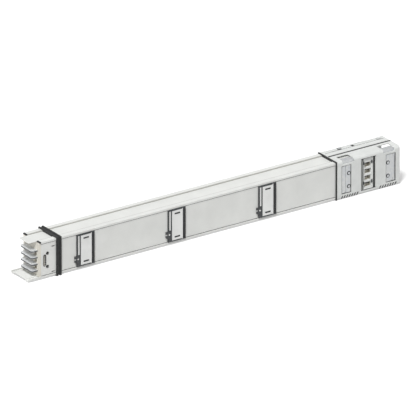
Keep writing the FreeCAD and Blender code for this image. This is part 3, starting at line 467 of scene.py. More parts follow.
def drawn_metal(name, colours, line, roughness, metallic):
    """A metal with lines along X, so many millimetres apart.

    Colours: the two ends of the variation along the lines, then the painted shade of the upright
    faces."""
    colour, shade, upright_shade = colours
    material, tree, shader = blank_material(name, colour, roughness, metallic)
    source = add(tree, "ShaderNodeTexCoord").outputs
    along = add(
        tree, "ShaderNodeMapping", {"Scale": (LINE_STRETCH, 1, 1)}, {"Vector": source["Object"]}
    )
    upward = add(tree, "ShaderNodeSeparateXYZ", links={"Vector": source["Normal"]}).outputs["Z"]
    level = add(tree, "ShaderNodeMath", links={0: upward}, operation="ABSOLUTE")
    # 1 on upright faces, which take the painted shade, 0 on level faces
    edge = add(
        tree,
        "ShaderNodeMapRange",
        {"From Min": UPRIGHT, "From Max": LEVEL, "To Min": 1, "To Max": 0},
        {"Value": level.outputs[0]},
    )
    lines = add(
        tree,
        "ShaderNodeTexNoise",
        {"Scale": per_mm(line), "Detail": 2.0},
        {"Vector": along.outputs["Vector"]},
    )
    tint = add(
        tree,
        "ShaderNodeValToRGB",
        links={"Fac": lines.outputs["Fac"]},
        ramp=((0.3, shade), (0.7, colour)),
    )
    rough = add(
        tree,
        "ShaderNodeMapRange",
        {"To Min": roughness - LINE_SPREAD, "To Max": roughness + LINE_SPREAD},
        {"Value": lines.outputs["Fac"]},
    )
    bump = add(
        tree,
        "ShaderNodeBump",
        {"Strength": 0.3, "Distance": LINE_DEEP * MM},
        {"Height": lines.outputs["Fac"]},
    )
    # Upright faces are painted darker because of the way they face: painted shade.
    mixed = add(
        tree,
        "ShaderNodeMixRGB",
        {"Color2": linear(upright_shade)},
        {"Fac": edge.outputs["Result"], "Color1": tint.outputs["Color"]},
    )
    surface = {"Base Color": mixed.outputs["Color"], "Roughness": rough.outputs["Result"]}
    feed(tree, shader, surface | {"Normal": bump.outputs["Normal"]})
    return material


# %% [markdown]
# ## Zinc-plated steel
#
# The clamp plates, clips and screws are steel with a bright zinc plating. Zinc dulls unevenly in
# soft clouds a few millimetres wide, between a cool blue grey and a warmer grey.


# %% Zinc-plated steel
ZINC_CLOUD_SIZE = 9


def zinc_plated_steel():
    material, tree, shader = blank_material("zinc-plated steel", "#BABCBE", 0.42, metallic=1.0)
    place = add(tree, "ShaderNodeTexCoord").outputs["Object"]
    clouds = add(
        tree,
        "ShaderNodeTexNoise",
        {"Scale": per_mm(ZINC_CLOUD_SIZE), "Detail": 5.0},
        {"Vector": place},
    )
    tint = add(
        tree,
        "ShaderNodeValToRGB",
        links={"Fac": clouds.outputs["Fac"]},
        ramp=((0.35, "#B3B6B9"), (0.65, "#C1C2C1")),
    )
    rough = add(
        tree,
        "ShaderNodeMapRange",
        {"From Min": 0.3, "From Max": 0.7, "To Min": 0.36, "To Max": 0.52},
        {"Value": clouds.outputs["Fac"]},
    )
    feed(tree, shader, {"Base Color": tint.outputs["Color"], "Roughness": rough.outputs["Result"]})
    return material


# %% [markdown]
# ## Black rubber
#
# The sealing band, the block's gasket, the strips beside the doors and all the small seals, rings,
# stops and plugs are moulded from black rubber. It has no shine but a broad sheen, and a fine talc
# bloom that makes some patches a little greyer.


# %% Black rubber
BLOOM_SIZE = 12
SKIN_SIZE, SKIN_DEEP = 0.8, 0.05


def black_rubber():
    material, tree, shader = blank_material("moulded black rubber", "#191A1A", 0.7, IOR=1.52)
    place = add(tree, "ShaderNodeTexCoord").outputs["Object"]
    bloom = add(
        tree, "ShaderNodeTexNoise", {"Scale": per_mm(BLOOM_SIZE), "Detail": 6.0}, {"Vector": place}
    )
    skin = add(
        tree, "ShaderNodeTexNoise", {"Scale": per_mm(SKIN_SIZE), "Detail": 1.0}, {"Vector": place}
    )
    tint = add(
        tree,
        "ShaderNodeValToRGB",
        links={"Fac": bloom.outputs["Fac"]},
        ramp=((0.4, "#151616"), (0.7, "#262727")),
    )
    bump = add(
        tree,
        "ShaderNodeBump",
        {"Strength": 0.3, "Distance": SKIN_DEEP * MM},
        {"Height": skin.outputs["Fac"]},
    )
    feed(tree, shader, {"Base Color": tint.outputs["Color"], "Normal": bump.outputs["Normal"]})
    return material


# %% Finishes by the record's material slots
FINISHES = {
    "painted_sheet": powder_coated_steel(),
    "cover_moulding": moulded_plastic(
        "spark-eroded polycarbonate", "#DADCDA", "#D2D4D2", grain=0.8, roughness=0.5, depth=0.06
    ),
    "outlet_moulding": moulded_plastic(
        "charcoal polyamide", "#3B3D3F", "#323436", grain=0.8, roughness=0.52, depth=0.06
    ),
    "door_moulding": moulded_plastic(
        "smooth polycarbonate", "#E6E7E5", "#DFE0DE", grain=1.6, roughness=0.34, depth=0.02
    ),
    "insulator": moulded_insulator(),
    # The last colour of each metal is painted shade for its upright faces.
    "bar_metal": drawn_metal(
        "extruded aluminium",
        ("#E2E4E5", "#D2D4D7", "#5E6063"),
        line=0.8,
        roughness=0.5,
        metallic=0.5,
    ),
    "contact_metal": drawn_metal(
        "tinned copper alloy",
        ("#CFCDC8", "#BBB8B2", "#C5C2BD"),
        line=0.6,
        roughness=0.3,
        metallic=1.0,
    ),
    "black_rubber": black_rubber(),
    "zinc_steel": zinc_plated_steel(),
}
print("finishes:", ", ".join(material.name for material in FINISHES.values()))

# %% [markdown]
# ## Soft edges on the CAD pieces
#
# A CAD edge is perfectly sharp, and nothing real is: a bent sheet, a moulding or a sawn bar has a
# small radius that catches the light. It could be drawn in CAD, at the cost of many faces. Here
# each CAD piece is copied instead, its loose triangles are merged and joined in pairs where they
# are flat, and a Bevel modifier rounds only its real edges. Dissolving the flat parts whole would
# look tidier, but a face round a hole then folds over it when it is bevelled. A Weighted Normal
# modifier then lets the large faces set the shade at the corners that they share with the narrow
# roundings, or a flat panel would look pillowed. The copy takes the CAD node's place, and the node
# is hidden. The copy stands for the CAD node, which stays for collision.

# %% Helpers for pieces
SLOT_OF = {entry["node"]: entry["material_slot"] for entry in frame["record"]["subparts"]}
BODY_OF = {
    node: body for body, nodes in frame["record"]["behaviour"]["bodies"].items() for node in nodes
}
SHARP_ANGLE = math.radians(35)


def place_piece(name, shape, slot, body):
    """Turns a bmesh into an object with the slot's finish, riding on a body."""
    mesh = bpy.data.meshes.new(name)
    shape.to_mesh(mesh)
    shape.free()
    mesh.materials.append(FINISHES[slot])
    mesh.shade_smooth()
    mesh.set_sharp_from_angle(angle=SHARP_ANGLE)
    piece = bpy.data.objects.new(name, mesh)
    bpy.context.scene.collection.objects.link(piece)
    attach(piece, body)
    return piece


def soften(piece, width):
    """Rounds a piece's real edges by so many millimetres, and keeps flat faces flat in shade."""
    bevel = piece.modifiers.new("soft_edges", "BEVEL")
    bevel.width = width * MM
    bevel.segments = 2
    bevel.limit_method = "ANGLE"
    bevel.angle_limit = SHARP_ANGLE
    bevel.miter_outer = "MITER_ARC"
    even = piece.modifiers.new("even_shade", "WEIGHTED_NORMAL")
    even.mode = "FACE_AREA"
    even.weight = 100
    even.keep_sharp = True


def rubber_trim(name, shape, edge):
    """A rubber piece on the section, its edges rounded by so many millimetres."""
    soften(place_piece(name, shape, "black_rubber", "section"), edge)


print("nodes with a finish:", len(SLOT_OF))

# %% Soft edges
EDGE_WIDTHS = {
    "painted_sheet": 0.35,
    "cover_moulding": 0.7,
    "outlet_moulding": 0.4,
    "door_moulding": 0.4,
    "insulator": 0.4,
    "bar_metal": 0.6,
    "contact_metal": 0.3,
    "black_rubber": 0.5,
    "zinc_steel": 0.3,
}
MERGE_DISTANCE = 0.001 * MM
FLAT_ANGLE = math.radians(0.5)
ANY_SHAPE = math.pi


def dress(node):
    """A copy of a CAD node with soft edges."""
    shape = bmesh.new()
    shape.from_mesh(frame["nodes"][node].data)
    bmesh.ops.remove_doubles(shape, verts=shape.verts, dist=MERGE_DISTANCE)
    bmesh.ops.join_triangles(
        shape,
        faces=shape.faces,
        angle_face_threshold=FLAT_ANGLE,
        angle_shape_threshold=ANY_SHAPE,
    )
    slot = SLOT_OF[node]
    piece = place_piece(f"dressed_{node}", shape, slot, BODY_OF[node])
    soften(piece, EDGE_WIDTHS[slot])
    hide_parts(node)


for node in SLOT_OF:
    if node != "block_bolt":
        dress(node)

# %% [markdown]
# ## Discs, prisms and spun heads
#
# The small fasteners are short bodies on an axis. Each is built upright at the origin, where its
# sizes are easy to read, then turned to the way it faces and moved to its place. A circle with many
# sides, extruded and bevelled, gives a washer, and one with six sides a hexagon head. A profile
# spun all the way round gives a button with a soft crown. The rubber trim is made from boxes and
# drawn outlines, placed by the faces of the CAD pieces that it sits on.


# %% Helpers for fasteners and trim
HEXAGON = 6


def extruded(shape, faces, vec):
    """Extrudes faces by a vector and keeps them, so the body is closed. Returns the new parts."""
    grown = bmesh.ops.extrude_face_region(shape, geom=faces)["geom"]
    moved = [part for part in grown if isinstance(part, bmesh.types.BMVert)]
    bmesh.ops.translate(shape, verts=moved, vec=vec)
    return grown


def disc(shape, sides, radius, low, high, edge):
    """Adds a disc or prism along Z, with its upper edge bevelled. Sizes in millimetres."""
    made = bmesh.ops.create_circle(shape, cap_ends=True, segments=sides, radius=radius * MM)
    ring = made["verts"]
    bmesh.ops.translate(shape, verts=ring, vec=(0, 0, low * MM))
    grown = extruded(shape, [ring[0].link_faces[0]], (0, 0, (high - low) * MM))
    rim = [part for part in grown if isinstance(part, bmesh.types.BMEdge)]
    bmesh.ops.bevel(
        shape, geom=rim, offset=edge * MM, segments=2, profile=0.5, affect="EDGES", material=-1
    )


def spun(shape, profile, steps):
    """Spins a profile of (radius, height) points round Z. Its ends on the axis are merged."""
    verts = [shape.verts.new((radius * MM, 0, height * MM)) for radius, height in profile]
    edges = [shape.edges.new(pair) for pair in zip(verts, verts[1:])]
    bmesh.ops.spin(
        shape,
        geom=verts + edges,
        cent=(0, 0, 0),
        axis=(0, 0, 1),
        angle=math.tau,
        steps=steps,
        use_merge=True,
    )
    bmesh.ops.remove_doubles(shape, verts=shape.verts, dist=MERGE_DISTANCE)


def box_of(shape, low, high):
    """Adds a box between two corners, in metres."""
    made = bmesh.ops.create_cube(shape, size=1.0)["verts"]
    size = Vector(high) - Vector(low)
    bmesh.ops.scale(shape, verts=made, vec=size)
    bmesh.ops.translate(shape, verts=made, vec=(Vector(high) + Vector(low)) / 2)


def drawn_out(shape, outline, start, end):
    """Extrudes an outline of (y, z) points along X. All in metres."""
    face = shape.faces.new([shape.verts.new((start, y, z)) for y, z in outline])
    extruded(shape, [face], (end - start, 0, 0))
    bmesh.ops.recalc_face_normals(shape, faces=shape.faces)


def turned_to(shape, spot, way):
    """Turns a bmesh built along Z to face a way, and moves it to its spot."""
    turn = Vector(way).to_track_quat("Z", "Y").to_matrix().to_4x4()
    bmesh.ops.transform(shape, matrix=Matrix.Translation(spot) @ turn, verts=shape.verts)
    bmesh.ops.recalc_face_normals(shape, faces=shape.faces)


# %% Faces that the small pieces sit on
def outer_face(node, side):
    """The Y of a node's face on a side of the section, and the way outwards, -1 or 1."""
    low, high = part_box(node)
    return {"front": (low.y, -1), "back": (high.y, 1)}[side]


def slab(shape, face_and_way, across, depths, up):
    """Adds a box: its spans along X and Z in metres, its depths under a face in millimetres."""
    face, way = face_and_way
    near, far = sorted(face - way * depth * MM for depth in depths)
    box_of(shape, (across[0], near, up[0]), (across[1], far, up[1]))


COVER_LOW, COVER_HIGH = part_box("block_cover_front")
COVER_FACE = {side: outer_face(f"block_cover_{side}", side) for side in SIDES}
print("joint block's faces, mm:", [round(face / MM, 1) for face, way in COVER_FACE.values()])

# %% [markdown]
# ## Clamp screws
#
# Each clamp plate has two screws, one over the other, that press the joint together. The drawing
# shows each as a bold dark ring round a pale head: a rubber washer under a hexagon head. The head
# has a shallow round dimple, as cold-forged heads have, from the punch that upsets them.

# %% Clamp screws
SCREW_FROM_PLATE_EDGE = 37.9
SCREW_PITCH = 53.3
SCREW_HEIGHT = 73.2
WASHER_SIDES, WASHER_RADIUS, WASHER_THICK = 32, 8.0, 0.6
HEAD_RADIUS, HEAD_HIGH, HEAD_FLAT = 5.4, 1.1, 1.6
SCREW_EDGE = 0.25
DIMPLE_WALL, DIMPLE_DEEP = 0.5, 0.25


def dimple(shape, width):
    """Sinks a dimple in the highest face, so many millimetres in from its edge."""
    crown = max(shape.faces, key=lambda face: face.calc_center_median().z)
    for thickness, depth in ((width, 0), (DIMPLE_WALL, -DIMPLE_DEEP)):
        bmesh.ops.inset_region(shape, faces=[crown], thickness=thickness * MM, depth=depth * MM)


def clamp_screw(side, end, number):
    plate = f"clamp_plate_{side}_{end}"
    low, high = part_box(plate)
    across = {
        "left": low.x + SCREW_FROM_PLATE_EDGE * MM,
        "right": high.x - SCREW_FROM_PLATE_EDGE * MM,
    }[end]
    face, way = outer_face(plate, side)
    spot = Vector((across, face, (SCREW_HEIGHT + (number - 1.5) * SCREW_PITCH) * MM))
    washer = bmesh.new()
    disc(washer, WASHER_SIDES, WASHER_RADIUS, 0, WASHER_THICK, SCREW_EDGE)
    head = bmesh.new()
    disc(head, HEXAGON, HEAD_RADIUS, WASHER_THICK, WASHER_THICK + HEAD_HIGH, SCREW_EDGE)
    dimple(head, HEAD_FLAT)
    for part, shape, slot in (("washer", washer, "black_rubber"), ("head", head, "zinc_steel")):
        turned_to(shape, spot, (0, way, 0))
        place_piece(f"clamp_screw_{part}_{side}_{end}_{number}", shape, slot, "section")


for side in SIDES:
    for end in ENDS:
        for number in (1, 2):
            clamp_screw(side, end, number)

# %% [markdown]
# ## Block bolt
#
# The bolt on the block's top is the one that a fitter tightens last. The CAD node holds its washer
# and its head as plain shapes. Here it has what such a bolt has: a thick rubber washer with rounded
# rims that fills the sunk track, which the drawing shows as a bold dark ring, a flange that spreads
# the load, and a hexagon head with broken edges.

# %% Block bolt
BOLT_LOW, BOLT_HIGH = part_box("block_bolt")
BOLT_SIDES = 40
BOLT_WASHER_RADIUS, BOLT_WASHER_HIGH, BOLT_WASHER_EDGE = 8.0, 2.0, 0.4
FLANGE_RADIUS, FLANGE_RIM_HIGH, FLANGE_HIGH = 5.6, 0.4, 0.8
BOLT_HEAD_RADIUS, BOLT_HEAD_EDGE, BOLT_HEAD_FLAT = 5.2, 0.5, 1.3
FLANGE_TOP_RADIUS = 5.0


def block_bolt():
    middle = (BOLT_LOW + BOLT_HIGH) / 2
    flange_top = BOLT_WASHER_HIGH + FLANGE_HIGH
    washer = bmesh.new()
    disc(washer, BOLT_SIDES, BOLT_WASHER_RADIUS, 0, BOLT_WASHER_HIGH, BOLT_WASHER_EDGE)
    flange = bmesh.new()
    profile = (
        (0, BOLT_WASHER_HIGH),
        (FLANGE_RADIUS, BOLT_WASHER_HIGH),
        (FLANGE_RADIUS, BOLT_WASHER_HIGH + FLANGE_RIM_HIGH),
        (FLANGE_TOP_RADIUS, flange_top),
        (0, flange_top),
    )
    spun(flange, profile, BOLT_SIDES)
    head = bmesh.new()
    high = (BOLT_HIGH.z - BOLT_LOW.z) / MM
    disc(head, HEXAGON, BOLT_HEAD_RADIUS, flange_top, high, BOLT_HEAD_EDGE)
    dimple(head, BOLT_HEAD_FLAT)
    parts = (
        ("washer", washer, "black_rubber"),
        ("flange", flange, "zinc_steel"),
        ("head", head, "zinc_steel"),
    )
    for part, shape, slot in parts:
        turned_to(shape, Vector((middle.x, middle.y, BOLT_LOW.z)), (0, 0, 1))
        piece = place_piece(f"block_bolt_{part}", shape, slot, "section")
        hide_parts("block_bolt")


block_bolt()

# %% [markdown]
# ## Catches and pillar strips
#
# In the drawing a pale round dot sits in each dark catch, low beside the door, with a pale patch in
# the notch at its left, and the pillar over it shows a pale band between two dark lines. The dot is
# taken as the button that frees the door, the patch as the end of its slide, and the band as a
# strip that closes the pillar's groove. All are moulded in the door's plastic. The button is a
# profile spun round its axis, with a thin gap to the hole, and its crown stands a little out, so
# that a thumb finds it.

# %% Catches and pillar strips
BUTTON_SIDES, BUTTON_FROM_EDGE = 32, 14.1
# (radius, height over the catch's face), from the button's foot to the middle of its crown
BUTTON_PROFILE = ((0, -4.8), (3.3, -4.8), (3.3, -0.1), (3.0, 0.2), (1.65, 0.36), (0, 0.4))
STRIP_LEFT, STRIP_RIGHT = 5.4, 11.2
STRIP_END, STRIP_EDGE = 4.8, 0.3
STRIP_TOP, STRIP_UNDER = 0.3, 2.5
SLIDE_LEFT, SLIDE_RIGHT, SLIDE_HALF, SLIDE_EDGE = 0.4, 6.9, 2.75, 0.4
SLIDE_TOP, SLIDE_UNDER = 2.2, 4.6


def catch_button_and_slide(side, number):
    catch = f"door_catch_{side}_{number}"
    low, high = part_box(catch)
    face, way = outer_face(catch, side)
    middle = (low.z + high.z) / 2
    button = bmesh.new()
    spun(button, BUTTON_PROFILE, BUTTON_SIDES)
    turned_to(button, Vector((low.x + BUTTON_FROM_EDGE * MM, face, middle)), (0, way, 0))
    place_piece(f"catch_button_{side}_{number}", button, "door_moulding", "section")
    slide = bmesh.new()
    across = (low.x + SLIDE_LEFT * MM, low.x + SLIDE_RIGHT * MM)
    up = (middle - SLIDE_HALF * MM, middle + SLIDE_HALF * MM)
    slab(slide, (face, way), across, (SLIDE_TOP, SLIDE_UNDER), up)
    piece = place_piece(f"catch_slide_{side}_{number}", slide, "door_moulding", "section")
    soften(piece, SLIDE_EDGE)


def pillar_strip(side, number):
    outlet = f"outlet_frame_{side}_{number}"
    low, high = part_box(outlet)
    catch_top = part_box(f"door_catch_{side}_{number}")[1].z
    shape = bmesh.new()
    across = (low.x + STRIP_LEFT * MM, low.x + STRIP_RIGHT * MM)
    up = (catch_top + STRIP_END * MM, high.z - STRIP_END * MM)
    slab(shape, outer_face(outlet, side), across, (STRIP_TOP, STRIP_UNDER), up)
    piece = place_piece(f"pillar_strip_{side}_{number}", shape, "door_moulding", "section")
    soften(piece, STRIP_EDGE)


for side in SIDES:
    for number in OUTLETS:
        catch_button_and_slide(side, number)
        pillar_strip(side, number)

# %% [markdown]
# ## Grip ribs
#
# The drawing darkens the block's lower long edge with two short rows of slanting strokes. They are
# taken as soft ribs where hands lift the block: each fills a groove of the cover's rounded edge,
# stands a little out, and leans over as it climbs the face. Its outline is an arc round the cover's
# own rounding, a short climb, and a straight line back inside the groove. The outline is one face,
# extruded along the section, and then the part that lies on the face is sheared.

# %% Grip ribs
GRIP_COUNT, GRIP_PITCH = 7, 11.5
GRIP_FROM_END, GRIP_WIDE, GRIP_PLAY = 18, 5, 0.3
COVER_ROUNDING = 10
# (degrees round the cover's rounding, distance from its middle)
RIB_ARC = ((0, 10.6), (16, 10.6), (30, 10.6), (45, 10.5), (60, 10.2), (74, 9.9))
RIB_TOP, RIB_STANDS, RIB_ROOT = 15.0, 0.6, 9.0
RIB_LEAN, RIB_EDGE = 0.7, 0.3


def grip_starts():
    """The near end of each grip groove, left row then right row."""
    rows = (
        COVER_LOW.x + GRIP_FROM_END * MM,
        COVER_HIGH.x - (GRIP_FROM_END + (GRIP_COUNT - 1) * GRIP_PITCH + GRIP_WIDE) * MM,
    )
    return [row + number * GRIP_PITCH * MM for row in rows for number in range(GRIP_COUNT)]


def grip_ribs(side):
    face, way = COVER_FACE[side]
    profile = [(GRIP_PLAY, RIB_ROOT), (GRIP_PLAY, RIB_TOP), (-RIB_STANDS, RIB_TOP)]
    for degrees, radius in RIB_ARC:
        inward = COVER_ROUNDING - radius * math.cos(math.radians(degrees))
        up = COVER_ROUNDING - radius * math.sin(math.radians(degrees))
        profile.append((inward, up))
    outline = [(face - way * inward * MM, up * MM) for inward, up in profile]
    shape = bmesh.new()
    for start in grip_starts():
        drawn_out(shape, outline, start + GRIP_PLAY * MM, start + (GRIP_WIDE - GRIP_PLAY) * MM)
    for vert in shape.verts:
        vert.co.x += RIB_LEAN * max(0, vert.co.z - RIB_ROOT * MM)
    rubber_trim(f"grip_ribs_{side}", shape, RIB_EDGE)


for side in SIDES:
    grip_ribs(side)
print("grip ribs on each side:", len(grip_starts()))

# %% [markdown]
# ## Finger slots
#
# Each door has two level slots to pull it open by, which the drawing fills with bold black. They
# are lined with black rubber, so that a gloved finger finds a hold, and that black also stands in
# for the shade inside the slot as painted shade. A liner is a box in the slot and a flange on the
# door.
# The flange's outer face is inset and pushed in, which leaves a thin lip all round. It rides on its
# own door.

# %% Finger slot liners, black as painted shade in the slots
SLOT_LONG, SLOT_HIGH = 24, 3.5
SLOT_FROM_END = 14.5
BARREL_RADIUS = 2.4
LINER_PLAY, LINER_LIP = 0.25, 0.6
LINER_UNDER, LINER_BITE = 2.2, 0.1
FLANGE_OVER, FLANGE_STANDS, FLANGE_DISHED = 1.2, 0.7, 0.4


# The liner's black rubber is painted shade in the slot as well as a grip.
def slot_shade_liner(side, number, level):
    door = f"outlet_door_{side}_{number}"
    low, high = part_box(door)
    face, way = outer_face(door, side)
    middle = (low.x + high.x - BARREL_RADIUS * MM) / 2
    half_long = (SLOT_LONG / 2 - LINER_PLAY) * MM
    across = (middle - half_long, middle + half_long)
    up = {"low": low.z + SLOT_FROM_END * MM, "top": high.z - SLOT_FROM_END * MM}[level]
    shape = bmesh.new()
    for over, depths in ((0, (0, LINER_UNDER)), (FLANGE_OVER, (-FLANGE_STANDS, LINER_BITE))):
        half_high = (SLOT_HIGH / 2 - LINER_PLAY + over) * MM
        slab(shape, (face, way), across, depths, (up - half_high, up + half_high))
    bmesh.ops.recalc_face_normals(shape, faces=shape.faces)
    crown = max(shape.faces, key=lambda found: found.calc_center_median().y * way)
    bmesh.ops.inset_region(shape, faces=[crown], thickness=LINER_LIP * MM)
    bmesh.ops.translate(shape, verts=crown.verts, vec=(0, -way * FLANGE_DISHED * MM, 0))
    name = f"slot_liner_{side}_{number}_{level}"
    place_piece(name, shape, "black_rubber", f"door_{side}_{number}")


for side in SIDES:
    for number in OUTLETS:
        for level in ("low", "top"):
            slot_shade_liner(side, number, level)

# %% [markdown]
# ## Lip beads
#
# The casing's covers lap the side plates with a lip, and the drawing gives each lip's edge a line
# of its own, the boldest one along the bottom. That edge is where water would creep in, so a bead
# of black sealant lies in the corner between lip and plate. It stops at each outlet frame, which
# has its own seal. Each run is a long bar with rounded edges.

# %% Lip beads
BEAD_HIGH, BEAD_DEEP = 1.5, 1.1
BEAD_BITE, BEAD_EDGE = 0.1, 0.4
BEAD_INTO_BLOCK = 3


def bead_runs(side):
    """The stretches of the side plate between its left end, its outlets and the joint block."""
    frames = [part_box(f"outlet_frame_{side}_{number}") for number in OUTLETS]
    starts = [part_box(f"side_plate_{side}")[0].x] + [high.x for low, high in frames]
    ends = [low.x for low, high in frames] + [COVER_LOW.x + BEAD_INTO_BLOCK * MM]
    return list(zip(starts, ends))


def lip_bead(side, level):
    edge, up = {
        "top": (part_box("casing_top")[0].z, -1),
        "bottom": (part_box("casing_bottom")[1].z, 1),
    }[level]
    levels = sorted(edge + up * high * MM for high in (-BEAD_BITE, BEAD_HIGH))
    plate = outer_face(f"side_plate_{side}", side)
    shape = bmesh.new()
    for run in bead_runs(side):
        slab(shape, plate, run, (BEAD_BITE, -BEAD_DEEP), levels)
    rubber_trim(f"lip_bead_{side}_{level}", shape, BEAD_EDGE)


for side in SIDES:
    for level in ("top", "bottom"):
        lip_bead(side, level)
print("runs in each:", len(bead_runs("front")))

# %% [markdown]
# ## Seals of the joint block
#
# Water must not reach the joint. The seam between the two covers holds a rubber strip: a T along
# the top, whose flat head lies over the seam and reads as the drawing's grey band, and a plain
# strip along the bottom, which must not stand out because the section lies on it. A wiper strip
# lies along the front edge of the sunk track in the top. Each middle opening has a seal all round
# for the tap-off unit that closes it, with two ribs down the left pillar, where the drawing has two
# bold lines.

# %% Seam strips
SEAM_HALF, SEAM_DEEP, SEAM_END = 0.5, 2.6, 1.0
SEAM_HEAD_HALF, SEAM_HEAD_HIGH = 3.6, 0.8
SEAM_SUNK, SEAM_BITE, SEAM_EDGE = 0.25, 0.05, 0.2
BLOCK_HIGH = (COVER_HIGH.z - COVER_LOW.z) / MM
# the right halves of the two outlines: (y, z) in millimetres over the block's underside
TOP_HALF = [
    (SEAM_HEAD_HALF, BLOCK_HIGH + SEAM_HEAD_HIGH),
    (SEAM_HEAD_HALF, BLOCK_HIGH - SEAM_BITE),
    (SEAM_HALF, BLOCK_HIGH - SEAM_BITE),
    (SEAM_HALF, BLOCK_HIGH - SEAM_DEEP),
]
BOTTOM_HALF = [(SEAM_HALF, SEAM_DEEP), (SEAM_HALF, SEAM_SUNK)]


def seam_strip(level, half):
    """A strip along the seam, from the right half of its outline."""
    outline = half + [(-y, z) for y, z in reversed(half)]
    points = [(y * MM, COVER_LOW.z + z * MM) for y, z in outline]
    shape = bmesh.new()
    drawn_out(shape, points, COVER_LOW.x + SEAM_END * MM, COVER_HIGH.x - SEAM_END * MM)
    rubber_trim(f"seam_strip_{level}", shape, SEAM_EDGE)


seam_strip("top", TOP_HALF)
seam_strip("bottom", BOTTOM_HALF)

# %% Track strip
TRACK_EDGE, TRACK_FROM_END = 31, 10
TRACK_STRIP_WIDE, TRACK_STRIP_DEEP, TRACK_STRIP_EDGE = 2.2, 1.3, 0.3


def track_strip():
    """A wiper strip along the front edge of the sunk track in the back cover's top."""
    shape = bmesh.new()
    box_of(
        shape,
        (COVER_LOW.x + TRACK_FROM_END * MM, TRACK_EDGE * MM, COVER_HIGH.z - TRACK_STRIP_DEEP * MM),
        (COVER_HIGH.x - TRACK_FROM_END * MM, (TRACK_EDGE + TRACK_STRIP_WIDE) * MM, COVER_HIGH.z),
    )
    rubber_trim("track_strip", shape, TRACK_STRIP_EDGE)


track_strip()

# %% Opening seals
OPENING_HALF = 33.5
OPENING_LOW, OPENING_HIGH = 13, 143
SEAL_GAP, SEAL_RIB, SEAL_BAR, SEAL_EDGE = 0.3, 3.3, 2.3, 0.3
SECOND_RIB = 7.4
RIM_FACE, SEAL_STANDS, SEAL_BITE = 3.0, 1.4, 0.1


def opening_seal(side):
    """Two ribs down the left, and a bar along the bottom and the top."""
    outlet_low, outlet_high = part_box(f"block_outlet_{side}")
    middle = (outlet_low.x + outlet_high.x) / 2 / MM
    left, right = middle - OPENING_HALF, middle + OPENING_HALF
    low, high = OPENING_LOW + SEAL_GAP, OPENING_HIGH - SEAL_GAP
    first_rib = (left + SEAL_GAP, left + SEAL_GAP + SEAL_RIB)
    second_rib = (left + SECOND_RIB, left + SECOND_RIB + SEAL_RIB)
    bar = (first_rib[1] + SEAL_GAP, right - SEAL_GAP)
    runs = (
        (first_rib, (low, high)),
        (second_rib, (low + SEAL_BAR + SEAL_GAP, high - SEAL_BAR - SEAL_GAP)),
        (bar, (low, low + SEAL_BAR)),
        (bar, (high - SEAL_BAR, high)),
    )
    depths = (RIM_FACE + SEAL_BITE, RIM_FACE - SEAL_STANDS)
    shape = bmesh.new()
    for run in runs:
        across, up = ([value * MM for value in span] for span in run)
        slab(shape, COVER_FACE[side], across, depths, up)
    rubber_trim(f"opening_seal_{side}", shape, SEAL_EDGE)


for side in SIDES:
    opening_seal(side)

# %% [markdown]
# ## Rubber rings, stops and plugs
#
# The drawing outlines some openings in bold ink. Each gets the rubber trim that such an opening
# has: a ring round the keying slot and the fixing holes at the left end, which keeps fingers and
# cables off the sheet's edge, a lip round each clamp plate's pocket, which keeps water from running
# in behind the plate, a stop in the open end of each raised rim, and a plug in the joint block's
# key slot, which the drawing shows as a short bold dash. The stop and the plug fill hollows that
# would lie in shade, and their black is painted shade there as well as rubber. A ring could be four
# bars or a bent tube. One flat face is simpler: it is inset, its middle is deleted, and what is left
# is thickened. A slot's outline is a circle whose upper half is moved up. It has 30 sides, so that
# no corner lies just halfway up.

# %% Edge rings
# (millimetres past the sealing band, height, width, length along Z) of each opening in a side plate
OPENINGS = ((49.5, 73.2, 9, 43), (37, 46.55, 8, 8), (37, 99.85, 8, 8))
RING_SIDES, RING_OVER_EDGE, RING_WIDE, RING_THICK = 30, 2.2, 2.4, 1.0
TRIM_EDGE = 0.3


def ring_from(shape, face, wide, thick):
    """Cuts a flat face down to a ring so many millimetres wide, and thickens it along Z."""
    bmesh.ops.inset_region(
        shape, faces=[face], thickness=wide * MM, use_boundary=True, use_even_offset=True
    )
    bmesh.ops.delete(shape, geom=[face], context="FACES")
    extruded(shape, shape.faces[:], (0, 0, thick * MM))


def edge_ring(side, number, from_band, height, wide, long):
    """A ring round an opening of the side plate."""
    face, way = outer_face(f"side_plate_{side}", side)
    shape = bmesh.new()
    radius = (wide / 2 + RING_OVER_EDGE) * MM
    made = bmesh.ops.create_circle(shape, cap_ends=True, segments=RING_SIDES, radius=radius)
    outline = made["verts"]
    for vert in outline:
        vert.co.y += math.copysign((long - wide) / 2 * MM, vert.co.y)
    ring_from(shape, outline[0].link_faces[0], RING_WIDE, RING_THICK)
    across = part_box("seal_band")[0].x - from_band * MM
    turned_to(shape, Vector((across, face, height * MM)), (0, way, 0))
    rubber_trim(f"edge_ring_{side}_{number}", shape, TRIM_EDGE)


for side in SIDES:
    for number, opening in enumerate(OPENINGS, 1):
        edge_ring(side, number, *opening)

# %% Pocket lips
POCKET_FROM_END, POCKET_WIDE = 19, 44
POCKET_LOW, POCKET_HIGH = 21, 134
LIP_WIDE, LIP_THICK, LIP_SUNK = 1.8, 1.3, 0.6


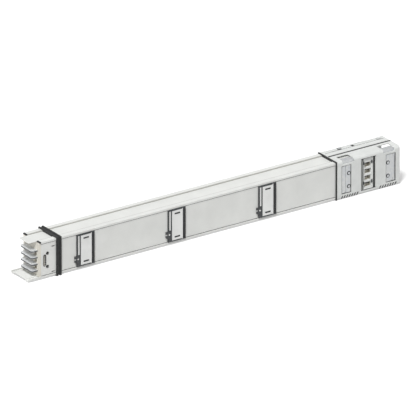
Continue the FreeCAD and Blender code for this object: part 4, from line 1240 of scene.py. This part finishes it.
def pocket_lip(side, end):
    from_end = (POCKET_FROM_END + POCKET_WIDE / 2) * MM
    across = {"left": COVER_LOW.x + from_end, "right": COVER_HIGH.x - from_end}[end]
    face, way = COVER_FACE[side]
    foot = face - way * (LIP_SUNK + LIP_THICK) * MM
    shape = bmesh.new()
    outline = bmesh.ops.create_grid(shape, x_segments=1, y_segments=1, size=0.5)["verts"]
    size = (POCKET_WIDE * MM, (POCKET_HIGH - POCKET_LOW) * MM, 1)
    bmesh.ops.scale(shape, verts=outline, vec=size)
    ring_from(shape, outline[0].link_faces[0], LIP_WIDE, LIP_THICK)
    turned_to(shape, Vector((across, foot, (POCKET_LOW + POCKET_HIGH) / 2 * MM)), (0, way, 0))
    rubber_trim(f"pocket_lip_{side}_{end}", shape, TRIM_EDGE)


for side in SIDES:
    for end in ENDS:
        pocket_lip(side, end)

# %% Rim stops and key plug, their black painted shade in the hollows they fill
RIM_INSIDE, RIM_OUTSIDE = 34.8, 56.2
STOP_UNDER_TOP, STOP_EDGE = 0.3, 0.5
STEM_INSIDE, STEM_OUTSIDE, STEM_LONG, STEM_BITE = 36.3, 53.2, 8, 1
STEM_LOW, STEM_HIGH = 145.8, 149.2
PLUG_MIDDLE = (138.5, 39.9)
# length, width and height of the plug's head and stem
PLUG_HEAD, PLUG_STEM, PLUG_EDGE = (10, 13, 0.9), (6.4, 7.6, 3), 0.4
TRACK_SUNK = 1.2


def rim_shade_stop(side):
    """A stop in a rim's open end, its black painted shade for the hollow: its head fills the step
    over the comb, its stem the hollow.
    """
    way = COVER_FACE[side][1]
    comb_low, comb_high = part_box("end_comb")
    rim_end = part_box(f"side_plate_{side}")[0].x
    head = sorted(way * across * MM for across in (RIM_INSIDE, RIM_OUTSIDE))
    stem = sorted(way * across * MM for across in (STEM_INSIDE, STEM_OUTSIDE))
    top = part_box("casing_top")[1].z - STOP_UNDER_TOP * MM
    shape = bmesh.new()
    box_of(shape, (comb_low.x, head[0], comb_high.z), (rim_end, head[1], top))
    box_of(
        shape,
        (rim_end - STEM_BITE * MM, stem[0], STEM_LOW * MM),
        (rim_end + STEM_LONG * MM, stem[1], STEM_HIGH * MM),
    )
    rubber_trim(f"rim_shade_stop_{side}", shape, STOP_EDGE)


# A plug in the key slot, its black rubber painted shade for the slot.
def key_shade_plug():
    x, y = COVER_LOW.x + PLUG_MIDDLE[0] * MM, PLUG_MIDDLE[1] * MM
    track = COVER_HIGH.z - TRACK_SUNK * MM
    shape = bmesh.new()
    for (long, wide, high), way in ((PLUG_HEAD, 1), (PLUG_STEM, -1)):
        levels = sorted((track, track + way * high * MM))
        box_of(
            shape,
            (x - long / 2 * MM, y - wide / 2 * MM, levels[0]),
            (x + long / 2 * MM, y + wide / 2 * MM, levels[1]),
        )
    rubber_trim("key_shade_plug", shape, PLUG_EDGE)


for side in SIDES:
    rim_shade_stop(side)
key_shade_plug()
